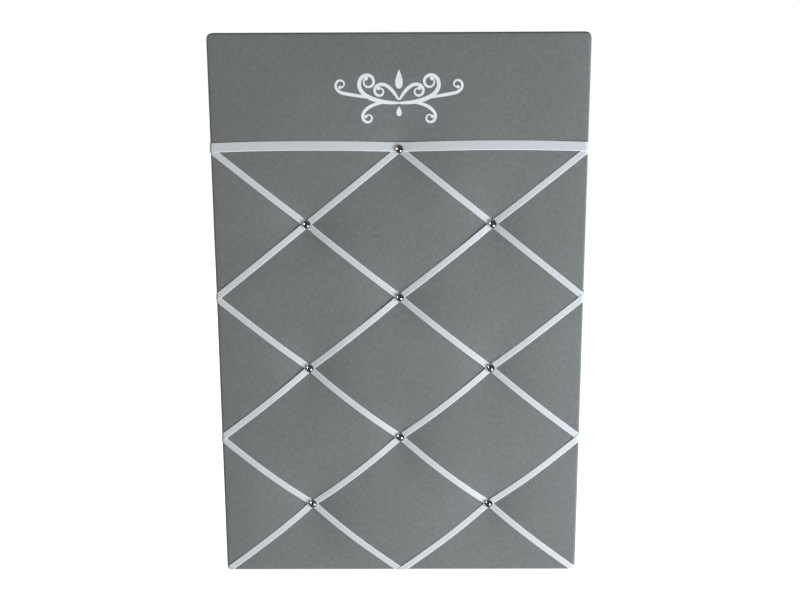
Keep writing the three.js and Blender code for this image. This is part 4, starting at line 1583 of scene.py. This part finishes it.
@dataclass
class BackFixings:
    """Staples on the ribbons' tails and pins round the back panel."""

    lattice: Lattice
    staple_wire: float = 0.00035
    staple_crown: float = 0.009
    staple_depth: float = 0.0067
    pin_head: float = 0.0022
    pin_thickness: float = 0.0009
    pin_shank: float = 0.0007
    pin_length: float = 0.0117

    def staples(self, scatter: NodeTree, wire: NodeTree) -> bpy.types.Object:
        """Drive a staple across each ribbon's tail."""
        half = self.staple_crown / 2 - self.staple_wire
        bend = 0.0006
        path = [
            (-half, -self.staple_depth, 0.0), (-half, -0.003, 0.0),
            (-half, -self.staple_wire - bend, 0.0), (-half + bend, -self.staple_wire, 0.0),
            (0.0, -self.staple_wire, 0.0),
            (half - bend, -self.staple_wire, 0.0), (half, -self.staple_wire - bend, 0.0),
            (half, -0.003, 0.0), (half, -self.staple_depth, 0.0),
        ]
        material = STAPLE_WIRE.material()
        template = path_piece("staple_template", path, closed=False)
        wire.run(template, {
            "Wire Radius": self.staple_wire, "Wire Sides": 8, "Path Steps": 33, "Finish": material,
        })
        nodes, turns, stretches = [], [], []
        for node, start, end, _ in self.lattice.runs():
            slope = np.subtract(end, start) / np.hypot(*np.subtract(end, start))
            for tip, place in (("start", start), ("end", end)):
                name = f"staple_{node}_{tip}"
                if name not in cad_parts:
                    continue
                nodes.append(name)
                turns.append(self.crown_turn(slope, place))
                stretches.append((4 / 3 if node == "top_ribbon" else 1.0, 1.0, 1.0))
        piece = set_fasteners(
            "tail_staples", template, rear_places(nodes), scatter, material, turns, stretches
        )
        return dress(piece, Body.BOARD, tuple(nodes))

    @staticmethod
    def crown_turn(slope: np.ndarray, place: Plan) -> float:
        """Turn that lays a staple's crown across a tail on the back.

        Args:
            slope: Direction of the ribbon over the front.
            place: Where the ribbon leaves the front.

        Returns:
            The turn about the Y axis.
        """
        side, foot = abs(place[0]) > SIDE_EDGE, place[1] < FOOT_EDGE
        tail = np.array(slope)
        if not (side and foot):
            tail[0 if side else 1] *= -1.0
        return math.atan2(-tail[0], -tail[1])

    def pins(self, scatter: NodeTree) -> bpy.types.Object:
        """Drive the pins that hold the back panel."""
        profile = [(0.0, 0.0)]
        for share in (0.45, 0.8, 1.0):
            profile.append((self.pin_head * share, -0.35 * self.pin_thickness * share**2))
        profile += [
            (self.pin_head, -0.8 * self.pin_thickness),
            (self.pin_head - 0.00015, -self.pin_thickness),
            (self.pin_shank, -self.pin_thickness),
            (self.pin_shank, -self.pin_length + 0.002),
            (0.0, -self.pin_length),
        ]
        template = lathe("pin_template", profile, 24)
        nodes = sorted(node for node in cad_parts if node.startswith("pin_"))
        places = rear_places(nodes)
        piece = set_fasteners("panel_pins", template, places, scatter, PIN_STEEL.material())
        return dress(piece, Body.BOARD, tuple(nodes))


@dataclass
class BackPanel:
    """Thin hardboard that closes the back."""

    corner: float = 0.003
    edge: float = 0.0004
    arc_steps: int = 6

    def build(self) -> bpy.types.Object:
        """Make the panel in the place of its node."""
        low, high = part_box("back_panel")
        half_x, half_z = high.x, high.z
        plan = []
        for quarter, (way_x, way_z) in enumerate(((1, 1), (-1, 1), (-1, -1), (1, -1))):
            for step in range(self.arc_steps + 1):
                angle = math.pi / 2 * (quarter + step / self.arc_steps)
                plan.append((
                    way_x * (half_x - self.corner) + self.corner * math.cos(angle),
                    way_z * (half_z - self.corner) + self.corner * math.sin(angle),
                ))
        count = len(plan)
        points = [(x, high.y, z) for x, z in plan] + [(x, low.y, z) for x, z in plan]
        faces = [tuple(range(count)), tuple(range(2 * count - 1, count - 1, -1))]
        for k in range(count):
            other = (k + 1) % count
            faces.append((k, other, other + count, k + count))
        piece = mesh_piece("hardboard_panel", points, faces, HARDBOARD.material(), smooth=False)
        add_rounding(outward(piece), self.edge)
        return dress(settle(piece), Body.BOARD, ("back_panel",))


@dataclass
class Hangers:
    """Two straps with D-rings, each held by one slotted screw."""

    bar_x: float = 0.130
    bar_y: float = 0.0026
    bar_z: float = 0.200
    strap_width: float = 0.009
    strap_length: float = 0.024
    strap_thickness: float = 0.0008
    strap_edge: float = 0.00018
    curl_radius: float = 0.0023
    curl_end: float = math.radians(205)
    wire: float = 0.0011
    bow: float = 0.010
    bar_half: float = 0.007
    rise: float = 0.020
    lean: float = math.asin(0.0012 / 0.020)
    screw_head: float = 0.0032
    screw_rise: float = 0.0016
    screw_shank: float = 0.0016
    screw_length: float = 0.0150
    screw_slot: float = 0.0008
    screw_turns: Plan = (24.0, -51.0)

    def ring(self, side: Side, sweep: NodeTree, material: bpy.types.Material) -> bpy.types.Object:
        """Bend one D-ring round its bar.

        Args:
            side: Side of the board.
            sweep: Tree that draws the wire.
            material: The zinc finish.

        Returns:
            The ring, riding on its own body.
        """
        flat = [(share * self.bar_half, 0.0) for share in (-1.0, -0.6, 0.0, 0.6, 1.0)]
        for angle in np.linspace(-math.pi / 6, 7 * math.pi / 6, 15):
            centre = self.rise - self.bow
            flat.append((self.bow * math.cos(angle), centre + self.bow * math.sin(angle)))
        path = [
            (
                side.value * self.bar_x + x,
                self.bar_y - up * math.sin(self.lean),
                self.bar_z + up * math.cos(self.lean),
            )
            for x, up in flat
        ]
        node = f"d_ring_{side.name.lower()}"
        piece = path_piece(f"{node}_wire", path, closed=True)
        sweep.run(piece, {
            "Wire Radius": self.wire, "Wire Sides": 16, "Path Steps": 96, "Finish": material,
        })
        body = Body.RING_LEFT if side is Side.LEFT else Body.RING_RIGHT
        return dress(outward(piece), body, (node,))

    def strap(self, side: Side, material: bpy.types.Material) -> bpy.types.Object:
        """Curl one strap round the ring's bar.

        Args:
            side: Side of the board.
            material: The zinc finish.

        Returns:
            The strap.
        """
        half = self.strap_width / 2
        path = []
        for angle in np.linspace(math.pi / 2, 0, 7)[1:]:
            share = half * (1 - math.sin(angle))
            path.append((self.bar_z - self.strap_length + share, 0.0, half * math.cos(angle)))
        for share in (0.5, 1.0):
            flat = self.bar_z - (self.strap_length - half) * (1 - share)
            path.append((flat, 0.0, half))
        for angle in np.linspace(-math.pi / 2, self.curl_end, 25)[1:]:
            path.append((
                self.bar_z + self.curl_radius * math.cos(angle),
                self.curl_radius * (1 + math.sin(angle)),
                half,
            ))
        rear = self.bar_y - self.curl_radius
        middle = side.value * self.bar_x
        across = (-1.0, -0.5, 0.0, 0.5, 1.0)
        points = [
            (middle + share * width, rear + out, z) for z, out, width in path for share in across
        ]
        faces = [(a, d, c, b) for a, b, c, d in grid_faces(len(path), len(across))]
        node = f"hanger_strap_{side.name.lower()}"
        piece = mesh_piece(f"{node}_zinc", points, faces, material)
        thicken(piece, self.strap_thickness, self.strap_edge)
        return dress(piece, Body.BOARD, (node,))

    def screws(self, scatter: NodeTree, material: bpy.types.Material) -> bpy.types.Object:
        """Drive the two slotted screws."""
        profile = [(0.0, 0.0)]
        for share in (0.3, 0.55, 0.75, 0.9, 1.0):
            profile.append((self.screw_head * share, -0.6 * self.screw_rise * share**3))
        profile += [
            (self.screw_head, -0.85 * self.screw_rise),
            (self.screw_head - 0.0002, -self.screw_rise),
            (self.screw_shank, -self.screw_rise),
            (self.screw_shank, -self.screw_length + 0.003),
            (0.0, -self.screw_length),
        ]
        template = lathe("screw_template", profile, 32)
        cutter_shape = bmesh.new()
        bmesh.ops.create_cube(cutter_shape, size=1.0)
        reach = (3 * self.screw_head, 1.1 * self.screw_rise, self.screw_slot)
        bmesh.ops.scale(cutter_shape, vec=reach, verts=cutter_shape.verts)
        cutter = mesh_piece("slot_cutter", [], [])
        cutter_shape.to_mesh(cutter.data)
        cutter_shape.free()
        slot = template.modifiers.new("Slot", "BOOLEAN")
        slot.operation = "DIFFERENCE"
        slot.object = cutter
        settle(template)
        remove_piece(cutter)
        nodes = [f"hanger_screw_{side.name.lower()}" for side in Side]
        turns = [math.radians(degrees) for degrees in self.screw_turns]
        places = rear_places(nodes)
        piece = set_fasteners("hanger_screws", template, places, scatter, material, turns)
        return dress(piece, Body.BOARD, tuple(nodes))

    def build(self, scatter: NodeTree, sweep: NodeTree) -> None:
        """Make both hangers."""
        material = ZINC.material()
        for side in Side:
            self.ring(side, sweep, material)
            self.strap(side, material)
        self.screws(scatter, material)


@dataclass(frozen=True)
class Curl:
    """One stroke of the flourish, drawn by its bending."""

    start: Plan
    heading: float
    bends: tuple[tuple[float, float, float], ...]
    width: float
    ball: float = 0.0

    def path(self, step: float) -> list[Plan]:
        """Walk along the stroke.

        Args:
            step: Distance between its points.

        Returns:
            The points of its middle line.
        """
        x, z = self.start
        heading = math.radians(self.heading)
        walked = [(x, z)]
        for length, first, last in self.bends:
            count = max(2, round(length / step))
            for k in range(count):
                bend = first + (last - first) * (k + 0.5) / count
                heading += bend * length / count
                x += math.cos(heading) * length / count
                z += math.sin(heading) * length / count
                walked.append((x, z))
        return walked


@dataclass
class BandFlourish:
    """Symmetrical scroll laid on the band above the top ribbon."""

    cover: PaddedCover
    centre: Plan = (0.0, 0.240)
    lift: float = 0.00014
    thickness: float = 0.00008
    step: float = 0.0012
    rank_step: float = 0.000005
    ball_sides: int = 16
    drop_sides: int = 28
    curls: tuple[Curl, ...] = (
        Curl((-0.0004, -0.0120), 0.0, ((0.036, 4.0, 26.0), (0.060, 46.0, 230.0)), 0.0044, 0.0022),
        Curl(
            (0.0003, -0.0090), 58.0, ((0.020, 4.0, -52.0), (0.037, -80.0, -300.0)), 0.0036, 0.0019
        ),
        Curl(
            (0.0150, -0.0116), -4.0, ((0.024, -14.0, -52.0), (0.030, -95.0, -330.0)), 0.0034, 0.0018
        ),
        Curl((0.0330, -0.0068), 16.0, ((0.026, -14.0, 8.0), (0.032, 60.0, 330.0)), 0.0034, 0.0018),
    )
    drops: tuple[tuple[Plan, float, float], ...] = (
        ((0.0, 0.0125), 0.0200, 0.0078),
        ((0.0, -0.0205), 0.0105, 0.0056),
    )

    def build(self, material: bpy.types.Material) -> bpy.types.Object:
        """Lay every stroke on the cover.

        Args:
            material: The flock finish.

        Returns:
            The flourish as one piece.
        """
        points: list[Point] = []
        faces: list[tuple[int, ...]] = []
        for rank, curl in enumerate(self.curls):
            path = curl.path(self.step)
            for half, mirror in enumerate((1.0, -1.0)):
                mirrored = [(mirror * x, z) for x, z in path]
                self.stroke(points, faces, mirrored, curl, 2 * rank + half)
        for middle, height, width in self.drops:
            ring = self.drop_ring(middle, height, width)
            self.fan(points, faces, middle, ring, 4 * len(self.curls))
        piece = mesh_piece("band_flourish", points, faces, material)
        piece = thicken(piece, self.thickness)
        piece.data.shade_flat()
        return dress(piece, Body.BOARD)

    def laid(self, x: float, z: float, rank: int) -> Point:
        """Place on the cover of a point of the flourish."""
        place, normal = self.cover.sample(self.centre[0] + x, self.centre[1] + z)
        return tuple(place + normal * (self.lift + self.rank_step * rank))

    def stroke(
        self,
        points: list[Point],
        faces: list[tuple[int, ...]],
        path: list[Plan],
        curl: Curl,
        rank: int,
    ) -> None:
        """Lay one tapering stroke that ends in a ball.

        Args:
            points: Points so far, added to.
            faces: Faces so far, added to.
            path: Middle line of the stroke.
            curl: The stroke's widths.
            rank: How many strokes lie below it.
        """
        first = len(points)
        line = np.array(path)
        ways = np.gradient(line, axis=0)
        ways /= np.linalg.norm(ways, axis=1, keepdims=True)
        count = len(line)
        lanes = (-1.0, 0.0, 1.0)
        for k, ((x, z), (way_x, way_z)) in enumerate(zip(line, ways)):
            share = k / (count - 1)
            half = curl.width / 2 * (0.30 + 0.70 * math.sin(math.pi * share**0.62) ** 0.8)
            for lane in lanes:
                points.append(self.laid(x - way_z * half * lane, z + way_x * half * lane, rank))
        faces.extend(grid_faces(count, len(lanes), first))
        if curl.ball:
            x, z = path[-1]
            ring = [
                (x + curl.ball * math.cos(angle), z + curl.ball * math.sin(angle))
                for angle in round_angles(self.ball_sides)
            ]
            self.fan(points, faces, path[-1], ring, rank + 2 * len(self.curls))

    def drop_ring(self, middle: Plan, height: float, width: float) -> list[Plan]:
        """Places round a pointed drop on the middle line."""
        ring = []
        for angle in round_angles(self.drop_sides):
            narrow = 0.5 * (1 - math.sin(angle)) ** 0.6
            x = middle[0] + width * 0.9 * math.cos(angle) * narrow
            ring.append((x, middle[1] + height / 2 * math.sin(angle)))
        return ring

    def fan(
        self,
        points: list[Point],
        faces: list[tuple[int, ...]],
        middle: Plan,
        ring: list[Plan],
        rank: int,
    ) -> None:
        """Lay a flat form round its middle.

        Args:
            points: Points so far, added to.
            faces: Faces so far, added to.
            middle: Middle of the form.
            ring: Places round its edge.
            rank: How many strokes lie below it.
        """
        first = len(points)
        points.append(self.laid(*middle, rank))
        for side, place in enumerate(ring):
            points.append(self.laid(*place, rank))
            faces.append((first, first + 1 + side, first + 1 + (side + 1) % len(ring)))


@dataclass(frozen=True)
class SoftBox:
    """One soft studio light."""

    name: str
    place: Point
    aim: Point
    width: float
    height: float
    power: float
    tint: Tint = (1.0, 1.0, 1.0)
    mirrored: bool = True

    def build(self) -> bpy.types.Object:
        """Hang the light."""
        lamp = bpy.data.lights.new(self.name, "AREA")
        lamp.shape = "RECTANGLE"
        lamp.size = self.width
        lamp.size_y = self.height
        lamp.energy = self.power
        lamp.color = self.tint
        holder = bpy.data.objects.new(self.name, lamp)
        holder.location = self.place
        way = Vector(self.aim) - Vector(self.place)
        holder.rotation_euler = way.to_track_quat("-Z", "Y").to_euler()
        holder.visible_glossy = self.mirrored
        bpy.context.scene.collection.objects.link(holder)
        return holder


@dataclass
class Studio:
    """Pale floor, soft lights, white surround and the camera."""

    floor_gap: float = 0.0006
    floor_size: float = 60.0
    ambient: float = 0.19
    mirrored: float = 0.05
    camera_place: Point = (0.00548, -1.11876, 0.24257)
    camera_turn: Point = (1.36770, 0.00394, 0.00405)
    sensor: float = 36.0
    focal_pixels: float = 1026.23
    image_width: float = 800.0
    lights: tuple[SoftBox, ...] = (
        SoftBox(
            "window_right", (1.80, -0.88, -0.70), (0.0, 0.0, -0.1), 1.5, 1.8, 81.0,
            (0.79, 0.92, 1.0), mirrored=False,
        ),
        SoftBox("fill_low", (0.70, -1.25, -0.85), (0.0, 0.0, -0.2), 0.5, 0.6, 5.0),
        SoftBox(
            "fill_left", (-1.5, -1.6, 0.30), (0.0, 0.0, 0.0), 0.35, 0.8, 8.5, (1.0, 0.965, 0.91)
        ),
        SoftBox("fill_behind", (-1.1, 1.7, 0.90), (0.0, 0.0, 0.0), 1.2, 1.2, 40.0),
    )

    def build(self) -> None:
        """Set up the studio."""
        scene = bpy.context.scene
        scene.view_settings.view_transform = "Standard"
        level = min(corner[2] for corner in CAD_BOX) - self.floor_gap
        half = self.floor_size / 2
        square = ((-half, -half), (half, -half), (half, half), (-half, half))
        corners = [(x, y, level) for x, y in square]
        floor = mesh_piece("studio_floor", corners, [(0, 1, 2, 3)], FloorFinish().material())
        floor.visible_glossy = False
        floor.visible_diffuse = False
        floor.visible_shadow = False
        for light in self.lights:
            light.build()
        self.surround(scene)
        self.camera(scene)

    def surround(self, scene: bpy.types.Scene) -> None:
        """Make the surround: white behind the board, dim as light, dark in the metal."""
        world = bpy.data.worlds.new("studio_surround")
        scene.world = world
        world.use_nodes = True
        nodes, links = world.node_tree.nodes, world.node_tree.links
        nodes.clear()
        path = nodes.new("ShaderNodeLightPath")
        strength: bpy.types.NodeSocket | None = None
        for ray, value in (("Is Glossy Ray", self.mirrored), ("Is Camera Ray", 1.0)):
            mix = nodes.new("ShaderNodeMix")
            mix.inputs["A"].default_value = self.ambient
            mix.inputs["B"].default_value = value
            if strength is not None:
                links.new(strength, mix.inputs["A"])
            links.new(path.outputs[ray], mix.inputs["Factor"])
            strength = mix.outputs["Result"]
        background = nodes.new("ShaderNodeBackground")
        background.inputs["Color"].default_value = (1.0, 1.0, 1.0, 1.0)
        links.new(strength, background.inputs["Strength"])
        output = nodes.new("ShaderNodeOutputWorld")
        links.new(background.outputs[0], output.inputs["Surface"])

    def camera(self, scene: bpy.types.Scene) -> None:
        """Stand the camera where the photograph was taken."""
        lens = bpy.data.cameras.new("photo_camera")
        lens.sensor_fit = "HORIZONTAL"
        lens.sensor_width = self.sensor
        lens.lens = self.focal_pixels * self.sensor / self.image_width
        holder = bpy.data.objects.new("photo_camera", lens)
        holder.location = self.camera_place
        holder.rotation_euler = Euler(self.camera_turn, "XYZ")
        scene.collection.objects.link(holder)
        scene.camera = holder


def main() -> None:
    """Build the dressed board and its studio."""
    logging.basicConfig(level=logging.INFO, format="%(name)s: %(message)s")
    Studio().build()
    lattice = Lattice()
    cover = PaddedCover(Outline(), lattice)
    cloth = cover.build(LinenFinish().material())
    dress(cloth, Body.BOARD, ("fabric_cover",))
    pad = WaddingPad(cover).build(WaddingFinish().material())
    dress(pad, Body.BOARD, ("wadding",))
    ribbons = RibbonLattice(cover)
    top = ribbons.build()[-1]
    scatter, sweep = scatter_tree(), wire_tree()
    DomedNails(lattice).build(scatter)
    fixings = BackFixings(lattice)
    fixings.staples(scatter, sweep)
    fixings.pins(scatter)
    BackPanel().build()
    Hangers().build(scatter, sweep)
    BandFlourish(cover).build(FlockFinish().material())
    core = bpy.data.objects["core_board"]
    core.material_slots[0].material = FIBREBOARD.material()


if __name__ == "__main__":
    main()
